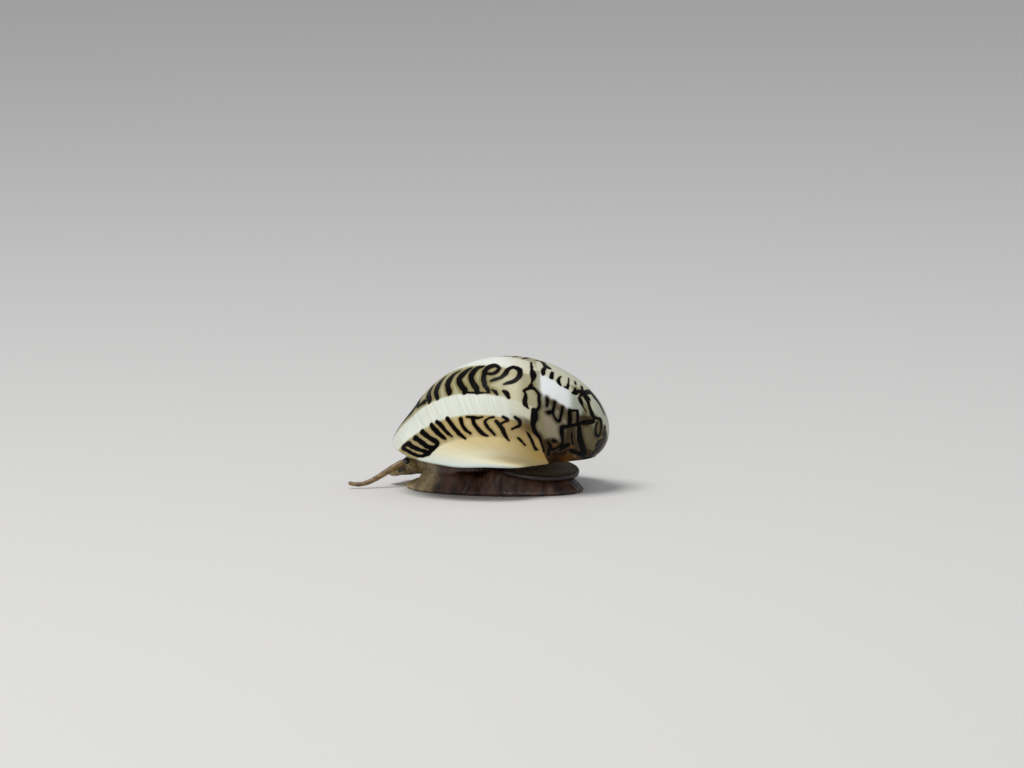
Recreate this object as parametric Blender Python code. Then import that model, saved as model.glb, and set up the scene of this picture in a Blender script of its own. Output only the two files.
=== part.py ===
"""A nerite snail crawling on a flat floor, life size. Metres, +X ahead, +Y to the snail's left, +Z up.

The shell is one spiral: the outline of its lip, turned about a coiling axis through the apex and shrunk at a
steady rate, sweeps out every whorl. The shell, the shelf across its mouth and the body inside it all take their
shape from that sweep. The soft parts below stand on the sole, whose centre on the floor is the origin.
Sizes are in millimetres until a mesh is made.
"""

import math

import bmesh
import bpy
import numpy as np
from mathutils import Matrix, Vector
from mathutils.bvhtree import BVHTree

MM = 0.001
GAP = 0.25
SMALL_GAP = 0.15

# The spiral of the shell, in the shell's own frame: its mouth lies in the plane z = 0, centred on the origin.
LIP_HALF_LENGTH = 7.5
LIP_HALF_WIDTH = 6.95
LIP_LEFT_END = math.radians(140)
LIP_RIGHT_END = math.radians(-138)
LIP_FRONT_LIFT = -0.13
LIP_WAVE = 0.29
LIP_FLAT_FROM = math.radians(100)
LIP_FLAT_AT = math.radians(140)
LIP_ARCH = 1.25
LIP_ARCH_FROM = math.radians(97)
LIP_ARCH_FULL = math.radians(38)
LIP_FLARE = 0.35
LIP_FLARE_FADES = math.radians(20)
APEX = np.array([-4.48, -4.15, 3.5])
AXIS_BACK = math.radians(14)
AXIS_RISE = math.radians(35)
SHRINK_PER_RADIAN = 0.31
LAST_TURN = 15.0
RIM_HEIGHT = 2.3

# The wall of the shell, the shelf across its mouth and the rings that part them.
HUB = np.array([-0.5, -0.3, 0.0])
DOME_AROUND = 144
DOME_UP = 60
LEAST_RISE = 1.5
SHALLOWEST = 4.5
LEFT_OVERRUN = 0.1
RIGHT_OVERRUN = 0.19
WALL = 0.8
LIP_WALL = 0.45
LIP_THINS_BELOW = math.radians(14)
LIP_ROUNDING = 0.12
SPIRE_RADIUS = 1.75
SPIRE_WALL = 0.6
SPIRE_DEEPEST = -1.3
SHELF_EDGE = -2.0
SHELF_HOLLOW = 0.45
SHELF_LOW = 0.05
SHELF_TOP = 0.95
TOOTH_COUNT = 6
TOOTH_LENGTH = 0.22
TEETH_HALF_SPAN = 2.4

# The body inside the shell, its neck and the mantle's edge.
BODY_FLOOR = 1.3
BODY_HOLLOW = 0.9
NECK_TOP = 2.6
NECK_TAPER = 0.75
NECK_CENTRE = 1.9
NECK_HALF_LENGTH = 3.2
NECK_HALF_WIDTH = 3.6
MANTLE_REACH = math.radians(92)
MANTLE_THICKNESS = 0.5
MANTLE_DROP = 0.3
MANTLE_TOP = 0.95

# The foot.
SOLE_HALF_LENGTH = 6.9
SOLE_HALF_WIDTH = 4.1
SOLE_FRONT_FLARE = 0.12
SOLE_SHIFT = 0.2
SOLE_EDGE = 0.5
SOLE_FLAT = 0.93
FOOT_TOP = 1.5
FOOT_FRONT_TOP = 0.55
FOOT_STEP = 5.1
FOOT_CUT = -1.0
OPERCULUM_FRONT = -1.9
OPERCULUM_CENTRE = -3.0
OPERCULUM_REAR = -6.0
OPERCULUM_HALF_WIDTH = 3.35
OPERCULUM_THICKNESS = 0.45
OPERCULUM_LOW = 0.95
OPERCULUM_HIGH = 1.72

# The head, its tentacles and eyes.
HEAD_CENTRE = (6.25, 0.0, 1.68)
HEAD_HALF = (1.45, 1.6, 0.88)
HEAD_BACK = 5.35
HEAD_FRONT = 7.1
SNOUT_CENTRE = (7.75, 0.6, 1.22)
SNOUT_HALF = (1.0, 0.92, 0.57)
MOUTH_HALF = (0.16, 0.6, 0.2)
TENTACLE_LEFT = ((6.45, 0.95, 1.8), (7.6, 2.4, 1.6), (8.4, 3.3, -0.15), (9.8, 3.95, 0.4))
TENTACLE_RIGHT = ((6.45, -0.95, 1.8), (7.5, -2.3, 1.9), (8.9, -3.5, 1.5), (9.7, -4.7, 1.0))
STUB_SHARE = 0.16
SPLIT_SHARE = 0.55
TENTACLE_LENGTH = 5.2
TENTACLE_ROOT = 0.3
TENTACLE_TIP = 0.13
STALK_RADIUS = 0.27
EYE_RADIUS = 0.25

FLESH_DARK = (0.055, 0.04, 0.035, 1.0)
FLESH_PALE = (0.36, 0.33, 0.27, 1.0)
SHELL_CREAM = (0.80, 0.76, 0.62, 1.0)
SHELF_WHITE = (0.86, 0.83, 0.72, 1.0)
PLATE_BROWN = (0.13, 0.09, 0.06, 1.0)
EYE_BLACK = (0.01, 0.01, 0.012, 1.0)


def clear_scene():
    for old in list(bpy.data.objects):
        bpy.data.objects.remove(old)


def material(name, colour, roughness):
    made = bpy.data.materials.new(name)
    made.use_nodes = True
    shader = made.node_tree.nodes["Principled BSDF"]
    shader.inputs["Base Color"].default_value = colour
    shader.inputs["Roughness"].default_value = roughness
    shader.inputs["Metallic"].default_value = 0.0
    return made


def smooth(low, high, value):
    """0 at low and before it, 1 at high and past it, with an even blend between."""
    t = np.clip((np.asarray(value, float) - low) / (high - low), 0, 1)
    return t * t * (3 - 2 * t)


def new_object(name, points, faces, finish, helper=False):
    """An object from points in millimetres. A helper is a cutter, which isn't part of the snail."""
    mesh = bpy.data.meshes.new(name)
    mesh.from_pydata([tuple(float(c) * MM for c in p) for p in points], [], faces)
    build = bmesh.new()
    build.from_mesh(mesh)
    bmesh.ops.recalc_face_normals(build, faces=build.faces)
    build.to_mesh(mesh)
    build.free()
    if finish:
        mesh.materials.append(finish)
    made = bpy.data.objects.new(name, mesh)
    bpy.context.scene.collection.objects.link(made)
    if helper:
        made.hide_render = True
        made.display_type = "WIRE"
    else:
        mesh.shade_smooth()
    return made


def combine(target, other, operation):
    """Applies a Boolean with another object and removes that object."""
    modifier = target.modifiers.new(operation.lower(), "BOOLEAN")
    modifier.operation = operation
    modifier.object = other
    modifier.solver = "EXACT"
    bpy.context.view_layer.update()
    graph = bpy.context.evaluated_depsgraph_get()
    result = bpy.data.meshes.new_from_object(target.evaluated_get(graph))
    target.modifiers.clear()
    target.data = result
    bpy.data.objects.remove(other)
    return target


def box(low, high):
    """A closed cutter between two corners."""
    xs, ys, zs = zip(low, high)
    points = [(x, y, z) for x in xs for y in ys for z in zs]
    faces = [(0, 1, 3, 2), (4, 6, 7, 5), (0, 4, 5, 1), (2, 3, 7, 6), (0, 2, 6, 4), (1, 5, 7, 3)]
    return new_object("cutter", points, faces, None, helper=True)


def half_space(side, at):
    """A cutter that takes away all there is past x = at, ahead of it (+1) or behind it (-1)."""
    far = 40.0
    low, high = ((at, -far, -far), (far, far, far)) if side > 0 else ((-far, -far, -far), (at, far, far))
    return box(low, high)


def closed_rows(rows, name, finish, first_pole=None, last_pole=None):
    """A closed surface through rings of equal count. Each end is a pole point, or a flat face where there is none."""
    count = len(rows[0])
    points = [p for row in rows for p in row]
    faces = []
    for r in range(len(rows) - 1):
        for i in range(count):
            j = (i + 1) % count
            a = r * count
            faces.append((a + i, a + j, a + count + j, a + count + i))
    for pole, row in ((first_pole, 0), (last_pole, len(rows) - 1)):
        start = row * count
        if pole is None:
            faces.append(tuple(range(start, start + count)))
        else:
            points.append(pole)
            faces += [(start + i, start + (i + 1) % count, len(points) - 1) for i in range(count)]
    return new_object(name, points, faces, finish)


def ellipsoid(centre, half, name="blob", finish=None, around=20, rings=10):
    rows = []
    for k in range(1, rings):
        tilt = math.pi * k / rings
        rows.append([
            (
                centre[0] + half[0] * math.sin(tilt) * math.cos(turn),
                centre[1] + half[1] * math.sin(tilt) * math.sin(turn),
                centre[2] + half[2] * math.cos(tilt),
            )
            for turn in (2 * math.pi * i / around for i in range(around))
        ])
    top = (centre[0], centre[1], centre[2] + half[2])
    bottom = (centre[0], centre[1], centre[2] - half[2])
    return closed_rows(rows, name, finish, top, bottom)


def tube(path, radii, name, finish, sides=10, round_tip=False):
    """A tapered tube along points, with flat ends or a rounded tip."""
    path = [Vector(p) for p in path]
    rows = []
    for k, centre in enumerate(path):
        along = (path[min(k + 1, len(path) - 1)] - path[max(k - 1, 0)]).normalized()
        across = along.cross(Vector((0, 0, 1))).normalized()
        up = across.cross(along)
        rows.append([
            centre + radii[k] * (across * math.cos(turn) + up * math.sin(turn))
            for turn in (2 * math.pi * i / sides for i in range(sides))
        ])
    tip = None
    if round_tip:
        tip = path[-1] + (path[-1] - path[-2]).normalized() * radii[-1]
    return closed_rows(rows, name, finish, None, tip)


# The spiral


def coiling_axis():
    flat = math.cos(AXIS_RISE)
    return np.array([-math.sin(AXIS_BACK) * flat, -math.cos(AXIS_BACK) * flat, math.sin(AXIS_RISE)])


def off_ahead(angle):
    """An angle from straight ahead, on either side, from 0 to half a turn."""
    return np.abs((np.asarray(angle, float) + math.pi) % (2 * math.pi) - math.pi)


def arch_share(angle):
    """How much of its full arch over the head the lip has at an angle: 1 in front, 0 along the sides."""
    share = (LIP_ARCH_FROM - off_ahead(angle)) / (LIP_ARCH_FROM - LIP_ARCH_FULL)
    return 1 - (1 - np.clip(share, 0, 1)) ** 1.3


def rim_lift(angle):
    """How far the edge of the shell stands off the plane of its mouth at an angle from straight ahead."""
    wave = LIP_FRONT_LIFT * np.cos(angle) ** 2 + LIP_WAVE * np.cos(3 * angle)
    wave = wave * (1 - smooth(LIP_FLAT_FROM, LIP_FLAT_AT, off_ahead(angle)))
    return wave + LIP_ARCH * arch_share(angle)


def spiral_points(turns, spans):
    """Points of the shell's outside: turns is how far back each lip lies, in radians, and spans runs along it."""
    angle = LIP_LEFT_END + (LIP_RIGHT_END - LIP_LEFT_END) * spans
    lift = LIP_FRONT_LIFT * np.cos(angle) ** 2 + LIP_WAVE * np.cos(3 * angle)
    lip = np.stack([LIP_HALF_LENGTH * np.cos(angle), LIP_HALF_WIDTH * np.sin(angle), lift], -1) - APEX
    axis = coiling_axis()
    side = np.cross(axis, lip)
    along = (lip @ axis)[:, None] * axis
    t = turns[:, None, None]
    turned = lip * np.cos(t) + side * np.sin(t) + along * (1 - np.cos(t))
    return APEX + np.exp(-SHRINK_PER_RADIAN * t) * turned


def spiral_surface(left_overrun, right_overrun):
    """A search tree over the swept whorls, each lip carried on past its ends by a share of its length."""
    turns = np.linspace(0, LAST_TURN, 260)
    spans = np.linspace(-left_overrun, 1 + right_overrun, 65)
    points = spiral_points(turns, spans).reshape(-1, 3)
    wide = len(spans)
    faces = [
        (r * wide + c, r * wide + c + 1, (r + 1) * wide + c + 1, (r + 1) * wide + c)
        for r in range(len(turns) - 1)
        for c in range(wide - 1)
    ]
    return BVHTree.FromPolygons([tuple(p) for p in points], faces)


def mean_of_neighbours(table):
    """The mean of the four cells about each cell of a table whose rows run round."""
    wider = np.concatenate([table[:, :1], table, table[:, -1:]], axis=1)
    return (np.roll(table, 1, 0) + np.roll(table, -1, 0) + wider[:, :-2] + wider[:, 2:]) / 4


def fill_holes(table):
    """Fills the empty cells of a table, whose rows run round, from the cells about them."""
    holes = np.isnan(table)
    filled = np.where(holes, np.nanmean(table), table)
    for _ in range(400):
        filled = np.where(holes, mean_of_neighbours(filled), filled)
    return filled


def spoke(angle, rise):
    """The start and direction of a ray from the shell's hub, at an angle round it and a rise above its mouth."""
    flat = Vector((LIP_HALF_LENGTH * math.cos(angle), LIP_HALF_WIDTH * math.sin(angle), 0)).normalized()
    direction = Vector((flat.x * math.cos(rise), flat.y * math.cos(rise), math.sin(rise)))
    start = Vector(HUB) + Vector((0, 0, float(rim_lift(angle)) * math.cos(rise)))
    return start, direction


def outer_distances():
    """How far the outermost whorl lies from the hub, by steps round it (rows) and steps of rise (columns)."""
    tree = spiral_surface(0, 0)
    reach = 30.0
    found = np.full((DOME_AROUND, DOME_UP + 1), np.nan)
    least = math.radians(LEAST_RISE)
    for i in range(DOME_AROUND):
        for k in range(DOME_UP + 1):
            rise = least + (math.pi / 2 - least) * k / DOME_UP
            start, direction = spoke(2 * math.pi * i / DOME_AROUND, rise)
            hit = tree.ray_cast(start + direction * reach, -direction)
            if hit[0] is not None and reach - hit[3] > SHALLOWEST:
                found[i, k] = reach - hit[3]
    found[:, DOME_UP] = np.nanmean(found[:, DOME_UP])
    angles = 2 * math.pi * np.arange(DOME_AROUND) / DOME_AROUND
    rises = np.linspace(least, math.pi / 2, DOME_UP + 1)
    flare = LIP_FLARE * np.outer(arch_share(angles), 1 - smooth(0, LIP_FLARE_FADES, rises))
    return fill_holes(found) + flare


def dome_point(dome, angle, rise, inset):
    """The point of the shell's outside at an angle and a rise, moved inwards by inset."""
    around, up = dome.shape[0], dome.shape[1] - 1
    at = (angle / (2 * math.pi) * around) % around
    i = int(at) % around
    share = at - int(at)
    column = dome[i] * (1 - share) + dome[(i + 1) % around] * share
    steps = (rise - math.radians(LEAST_RISE)) / (math.pi / 2 - math.radians(LEAST_RISE)) * up
    distance = float(np.interp(steps, np.arange(up + 1), column))
    start, direction = spoke(angle, rise)
    return start + direction * (distance - inset)


def wall_at(rise):
    return LIP_WALL + (WALL - LIP_WALL) * float(smooth(0, LIP_THINS_BELOW, rise))


def rise_to(dome, angle, height, inset):
    """The rise at which the dome, set in by inset, stands at a height over its mouth."""
    low, high = 0.0, math.pi / 2
    for _ in range(24):
        middle = (low + high) / 2
        if dome_point(dome, angle, middle, inset).z < height:
            low = middle
        else:
            high = middle
    return low


def lifted(points):
    """The same points, moved from the shell's frame to where the shell is carried."""
    return [(p[0], p[1], p[2] + RIM_HEIGHT) for p in points]


# The shell


def shell_whole(dome, finish, around=72, outer_rows=20, inner_rows=8):
    """The wall of the shell: outside, rounded edge and inside, in one closed surface."""
    angles = [2 * math.pi * i / around for i in range(around)]
    quarter = math.pi / 2
    rows = []
    for k in range(inner_rows - 1, -1, -1):
        rise = quarter * k / inner_rows
        rows.append(lifted([dome_point(dome, a, rise, wall_at(rise)) for a in angles]))
    rows.append(lifted([
        dome_point(dome, a, 0, LIP_WALL / 2) - Vector((0, 0, LIP_ROUNDING)) for a in angles
    ]))
    for k in range(outer_rows):
        rise = quarter * k / outer_rows
        rows.append(lifted([dome_point(dome, a, rise, 0) for a in angles]))
    inner_top, outer_top = lifted([dome_point(dome, 0, quarter, WALL), dome_point(dome, 0, quarter, 0)])
    return closed_rows(rows, "shell_body_whorl", finish, inner_top, outer_top)


def apex_frame():
    """Two directions square to the coiling axis."""
    axis = Vector(coiling_axis())
    first = axis.cross(Vector((0, 0, 1))).normalized()
    return axis, first, axis.cross(first)


def apex_cutter(radius):
    """A short cylinder on the coiling axis, through the wall at the apex."""
    axis, first, second = apex_frame()
    sides = 48
    ends = (-2.2, 3.0)
    rows = [
        lifted([
            Vector(APEX) + axis * end + radius * (first * math.cos(t) + second * math.sin(t))
            for t in (2 * math.pi * i / sides for i in range(sides))
        ])
        for end in ends
    ]
    made = closed_rows(rows, "cutter", None)
    made.hide_render = True
    made.display_type = "WIRE"
    return made


def shell_spire(finish, around=44, rings=9):
    """The low spire: the first whorls round the apex, with the groove that winds between them."""
    tree = spiral_surface(LEFT_OVERRUN, RIGHT_OVERRUN)
    axis, first, second = apex_frame()
    reach = 30.0

    def across(ring, turn):
        radius = SPIRE_RADIUS * (ring + 1) / rings
        return Vector(APEX) + radius * (first * math.cos(turn) + second * math.sin(turn))

    turns = [2 * math.pi * i / around for i in range(around)]
    heights = np.full((around, rings), np.nan)
    for i, turn in enumerate(turns):
        for k in range(rings):
            hit = tree.ray_cast(across(k, turn) + axis * reach, -axis)
            if hit[0] is not None and reach - hit[3] > SPIRE_DEEPEST:
                heights[i, k] = reach - hit[3]
    heights = fill_holes(heights)
    for _ in range(2):
        heights = 0.5 * heights + 0.5 * mean_of_neighbours(heights)
    top = [[across(k, t) + axis * heights[i, k] for i, t in enumerate(turns)] for k in range(rings)]
    low = [[across(k, t) + axis * (heights[i, k] - SPIRE_WALL) for i, t in enumerate(turns)] for k in (rings - 1, 3)]
    peak = float(heights[:, 0].mean()) + 0.03
    poles = lifted([Vector(APEX) + axis * peak, Vector(APEX) + axis * (peak - SPIRE_WALL)])
    return closed_rows([lifted(row) for row in top + low], "shell_spire", finish, poles[0], poles[1])


def shell_shelf(dome, finish, arc_points=44, edge_points=49):
    """The flat shelf that closes the rear of the mouth, with a toothed front edge."""
    inset = WALL + GAP

    def corner(height, side):
        """The angle at which the inside of the wall meets the shelf's front edge."""
        low, high = math.radians(60), math.radians(150)
        for _ in range(30):
            middle = (low + high) / 2
            rise = rise_to(dome, side * middle, height, inset)
            if dome_point(dome, side * middle, rise, inset).x > SHELF_EDGE:
                low = middle
            else:
                high = middle
        return side * low

    def outline(height, setback):
        left, right = corner(height, 1), corner(height, -1)
        turns = np.linspace(left, 2 * math.pi + right, arc_points)
        arc = [dome_point(dome, a, rise_to(dome, a, height, inset), inset) for a in turns]
        ends = arc[-1].y, arc[0].y
        loop = [(p.x, p.y, height) for p in arc]
        for k in range(1, edge_points - 1):
            y = ends[0] + (ends[1] - ends[0]) * k / (edge_points - 1)
            hollow = SHELF_HOLLOW * (1 - (y / ends[1]) ** 2)
            teeth = TOOTH_LENGTH * abs(math.sin(math.pi * TOOTH_COUNT * (y + TEETH_HALF_SPAN) / (2 * TEETH_HALF_SPAN)))
            teeth *= abs(y) < TEETH_HALF_SPAN
            loop.append((SHELF_EDGE - hollow + teeth - setback, y, height))
        return loop

    rows = [lifted(outline(SHELF_LOW, 0.0)), lifted(outline(SHELF_TOP, 0.3))]
    return closed_rows(rows, "columellar_shelf", finish)


# The body inside the shell


def body_in_shell(dome, finish, around=48, rows_up=9):
    """The soft body that fills the shell, with the neck that carries it down to the foot."""
    inset = WALL + GAP
    angles = [2 * math.pi * i / around for i in range(around)]
    starts = [rise_to(dome, a, BODY_FLOOR + LIP_ARCH * float(arch_share(a)), inset) for a in angles]
    rows = []
    for k in range(rows_up):
        share = k / rows_up
        rows.append(lifted([
            dome_point(dome, a, s + (math.pi / 2 - s) * share, inset) for a, s in zip(angles, starts)
        ]))
    top = lifted([dome_point(dome, 0, math.pi / 2, inset)])[0]
    bottom = (NECK_CENTRE, 0, RIM_HEIGHT + BODY_FLOOR + BODY_HOLLOW)
    body = closed_rows(rows, "body_in_shell", finish, bottom, top)
    neck_rows = [
        [
            (
                NECK_CENTRE + NECK_HALF_LENGTH * width * math.cos(t),
                NECK_HALF_WIDTH * width * math.sin(t),
                height,
            )
            for t in (2 * math.pi * i / 32 for i in range(32))
        ]
        for height, width in ((FOOT_TOP + GAP, 1.0), (RIM_HEIGHT + NECK_TOP, NECK_TAPER))
    ]
    combine(body, closed_rows(neck_rows, "neck", None), "UNION")
    return combine(body, apex_cutter(SPIRE_RADIUS + GAP), "DIFFERENCE")


def mantle_edge(dome, finish, stations=41):
    """The mantle's edge: a collar of flesh that lines the lip and shows just below it."""
    rows = []
    for angle in np.linspace(-MANTLE_REACH, MANTLE_REACH, stations):
        low = float(rim_lift(angle)) - MANTLE_DROP
        high = MANTLE_TOP + LIP_ARCH * float(arch_share(angle))
        foot = dome_point(dome, angle, 0, LIP_WALL + GAP)
        shoulder = dome_point(dome, angle, rise_to(dome, angle, high, WALL + GAP), WALL + GAP)
        inward = Vector((-foot.x, -foot.y, 0)).normalized() * MANTLE_THICKNESS
        section = [
            Vector((foot.x, foot.y, low + 0.12)) + inward * 0.3,
            Vector((foot.x, foot.y, low + 0.45)),
            Vector((shoulder.x, shoulder.y, high)),
            Vector((shoulder.x, shoulder.y, high)) + inward,
            Vector((foot.x, foot.y, low + 0.3)) + inward * 1.3,
            Vector((foot.x, foot.y, low)) + inward * 0.75,
        ]
        rows.append(lifted(section))
    return closed_rows(rows, "mantle_edge", finish)


# The foot


def sole_outline(turn):
    x = SOLE_SHIFT + SOLE_HALF_LENGTH * math.cos(turn)
    y = SOLE_HALF_WIDTH * math.sin(turn) * (1 + SOLE_FRONT_FLARE * math.cos(turn))
    return x, y


def operculum_floor(x):
    """The height of the operculum's underside, which slopes down to the tail."""
    share = (x - OPERCULUM_REAR) / (OPERCULUM_FRONT - OPERCULUM_REAR)
    return OPERCULUM_LOW + (OPERCULUM_HIGH - OPERCULUM_LOW) * share


def foot_height(x, y, share):
    """The height of the foot's back at x, y, a share of the way out from its middle."""
    neck = math.hypot((x - NECK_CENTRE) / NECK_HALF_LENGTH, y / NECK_HALF_WIDTH)
    mound = FOOT_TOP - (FOOT_TOP - SOLE_EDGE) * float(smooth(0.95, 1.75, neck))
    ahead = float(smooth(FOOT_STEP - 0.5, FOOT_STEP + 0.1, x))
    mound = mound * (1 - ahead) + FOOT_FRONT_TOP * ahead
    rear = operculum_floor(x) - GAP
    behind = float(smooth(OPERCULUM_FRONT + 1.3, OPERCULUM_FRONT + 0.2, x))
    mound = mound * (1 - behind) + max(min(rear, mound + 0.5), 0.3) * behind
    return SOLE_EDGE * 0.6 + (mound - SOLE_EDGE * 0.6) * (1 - float(smooth(0.86, 1.0, share)) * 0.9)


def foot_whole(name, finish, around=52, rings=12):
    turns = [2 * math.pi * i / around for i in range(around)]
    rows = [[(*(c * SOLE_FLAT for c in sole_outline(t)), 0.0) for t in turns]]
    rows.append([(*sole_outline(t), SOLE_EDGE * 0.4) for t in turns])
    for k in range(rings - 1, 0, -1):
        share = k / rings
        row = []
        for t in turns:
            x, y = sole_outline(t)
            x, y = SOLE_SHIFT + (x - SOLE_SHIFT) * share, y * share
            row.append((x, y, foot_height(x, y, share)))
        rows.append(row)
    return closed_rows(rows, name, finish, None, (SOLE_SHIFT, 0, FOOT_TOP))


def operculum(finish, around=40):
    """The half-moon plate that the snail shuts its shell with, carried on the back of the foot."""
    rim = []
    for i in range(around):
        turn = 2 * math.pi * i / around
        ahead = math.cos(turn)
        depth = OPERCULUM_FRONT - OPERCULUM_CENTRE if ahead > 0 else OPERCULUM_CENTRE - OPERCULUM_REAR
        rim.append((depth * math.copysign(abs(ahead) ** 0.9, ahead), OPERCULUM_HALF_WIDTH * math.sin(turn)))
    rows = []
    for spread, lift in ((0.9, 0.0), (1.0, 0.15), (1.0, 0.3), (0.9, OPERCULUM_THICKNESS)):
        row = []
        for dx, y in rim:
            x = OPERCULUM_CENTRE + dx * spread
            row.append((x, y * spread, operculum_floor(x) + lift))
        rows.append(row)
    return closed_rows(rows, "operculum", finish)


# The head


def tentacle_path(marks, count=25):
    """The line of a tentacle's middle: a smooth curve that starts at the first mark and ends at the last."""
    a, b, c, d = (Vector(m) for m in marks)
    points = []
    for k in range(count):
        t = k / (count - 1)
        u = 1 - t
        points.append(u * u * u * a + 3 * u * u * t * b + 3 * u * t * t * c + t * t * t * d)
    return points


def tentacle_radius(share):
    return TENTACLE_ROOT + (TENTACLE_TIP - TENTACLE_ROOT) * share ** 0.8


def stretch(path, start, end, count=7):
    """Points from start to end along a path, as shares of it, with the radius at each."""
    picked, radii = [], []
    for k in range(count):
        share = start + (end - start) * k / (count - 1)
        at = share * (len(path) - 1)
        low = min(int(at), len(path) - 2)
        picked.append(path[low].lerp(path[low + 1], at - low))
        radii.append(tentacle_radius(share))
    return picked, radii


def stalk_line(side):
    """The root and the end of an eye's stalk, just outside the tentacle."""
    root = Vector((6.0, side * 1.2, 1.6))
    end = Vector((6.05, side * 1.92, 1.82))
    return root, end


def head_parts(pale, dark, eye_finish):
    head = ellipsoid(HEAD_CENTRE, HEAD_HALF, "head", dark, around=24, rings=12)
    sides = ((1, "left", tentacle_path(TENTACLE_LEFT)), (-1, "right", tentacle_path(TENTACLE_RIGHT)))
    for side, _, path in sides:
        stub, radii = stretch(path, 0.0, STUB_SHARE, 3)
        combine(head, tube(stub, radii, "stub", None), "UNION")
        root, end = stalk_line(side)
        combine(head, tube([root, root.lerp(end, 0.5)], [STALK_RADIUS] * 2, "stub", None), "UNION")
    combine(head, half_space(-1, HEAD_BACK), "DIFFERENCE")
    combine(head, half_space(1, HEAD_FRONT), "DIFFERENCE")
    for side, word, path in sides:
        gap = SMALL_GAP / TENTACLE_LENGTH
        near, near_radii = stretch(path, STUB_SHARE + gap, SPLIT_SHARE)
        far, far_radii = stretch(path, SPLIT_SHARE + gap, 1.0)
        tube(near, near_radii, f"tentacle_{word}_root", pale)
        tube(far, far_radii, f"tentacle_{word}_tip", pale, round_tip=True)
        root, end = stalk_line(side)
        along = (end - root).normalized()
        start = root.lerp(end, 0.5) + along * SMALL_GAP
        tube([start, end], [STALK_RADIUS, STALK_RADIUS * 0.9], f"eye_stalk_{word}", pale)
        centre = end + along * (SMALL_GAP + EYE_RADIUS)
        ellipsoid(centre, [EYE_RADIUS] * 3, f"eye_{word}", eye_finish, 12, 8)
    return head


def snout(finish):
    """The broad two-lobed snout, with the mouth across its underside."""
    x, y, z = SNOUT_CENTRE
    made = ellipsoid((x, y, z), SNOUT_HALF, "snout", finish)
    combine(made, ellipsoid((x, -y, z), SNOUT_HALF), "UNION")
    combine(made, half_space(-1, HEAD_FRONT + GAP), "DIFFERENCE")
    combine(made, ellipsoid((x + 0.35, 0, z - SNOUT_HALF[2]), MOUTH_HALF, around=16, rings=8), "DIFFERENCE")
    return made


def main():
    clear_scene()
    shell_finish = material("shell", SHELL_CREAM, 0.25)
    shelf_finish = material("shelf", SHELF_WHITE, 0.3)
    dark = material("flesh_dark", FLESH_DARK, 0.4)
    pale = material("flesh_pale", FLESH_PALE, 0.4)
    plate = material("operculum", PLATE_BROWN, 0.45)
    eye = material("eye", EYE_BLACK, 0.1)

    dome = outer_distances()
    whorl = shell_whole(dome, shell_finish)
    combine(whorl, apex_cutter(SPIRE_RADIUS + GAP), "DIFFERENCE")
    shell_spire(shell_finish)
    shell_shelf(dome, shelf_finish)
    body_in_shell(dome, dark)
    mantle_edge(dome, dark)

    front = foot_whole("foot_front", dark)
    combine(front, half_space(-1, FOOT_CUT + GAP / 2), "DIFFERENCE")
    rear = foot_whole("foot_rear", dark)
    combine(rear, half_space(1, FOOT_CUT - GAP / 2), "DIFFERENCE")
    operculum(plate)
    head_parts(pale, dark, eye)
    snout(pale)


main()
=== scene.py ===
"""The looks of a crawling nerite snail: its striped shell, its dark flesh, and the plain studio it stands in.

Lengths are in millimetres until a mesh is made. The shell's own frame has its mouth in the plane z = 0, and
its surface is known by two growth coordinates: age, in radians of coiling back from the lip, and height, in
percent of the way along the lip from the left rear over the back to the right rear. The markings are drawn in
those two.
"""

from math import cos, exp, pi, radians, sin

import bmesh
import bpy
import numpy as np
from mathutils import Matrix, Vector, kdtree
from mathutils.bvhtree import BVHTree


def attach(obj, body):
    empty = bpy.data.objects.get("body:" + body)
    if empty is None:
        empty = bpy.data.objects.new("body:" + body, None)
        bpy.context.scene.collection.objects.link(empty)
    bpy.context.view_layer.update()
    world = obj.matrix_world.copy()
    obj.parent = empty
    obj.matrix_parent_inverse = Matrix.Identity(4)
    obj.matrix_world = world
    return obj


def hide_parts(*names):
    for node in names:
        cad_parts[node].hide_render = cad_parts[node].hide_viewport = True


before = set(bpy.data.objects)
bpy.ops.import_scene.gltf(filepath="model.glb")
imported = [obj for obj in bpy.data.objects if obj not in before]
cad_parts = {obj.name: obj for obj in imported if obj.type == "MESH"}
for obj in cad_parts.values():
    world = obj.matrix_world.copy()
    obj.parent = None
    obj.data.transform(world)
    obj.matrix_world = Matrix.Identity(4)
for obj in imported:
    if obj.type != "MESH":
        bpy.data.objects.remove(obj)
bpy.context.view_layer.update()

MM = 0.001

# The spiral of the shell, as the solids have it, and the rim of its mouth. Angles run from straight ahead.
LIP_HALF = np.array([7.5, 6.95])
LIP_LEFT_END = radians(140)
LIP_RIGHT_END = radians(-138)
LIP_FRONT_LIFT = -0.13
LIP_WAVE = 0.29
LIP_FLAT_FROM = radians(100)
LIP_FLAT_AT = radians(140)
LIP_ARCH = 1.25
LIP_ARCH_FROM = radians(97)
LIP_ARCH_FULL = radians(38)
LIP_EVENING = radians(11)
LIP_FLARE = 0.35
LIP_FLARE_FADES = radians(20)
APEX = np.array([-4.48, -4.15, 3.5])
AXIS_BACK = radians(14)
AXIS_RISE = radians(35)
SHRINK_PER_RADIAN = 0.31
LAST_TURN = 15.0
RIM_HEIGHT = 2.3
HUB = np.array([-0.5, -0.3, 0.0])
WALL = 0.8
LIP_WALL = 0.45
LIP_WALL_ENDS = radians(14)
LIP_ROUNDING = 0.12

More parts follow.
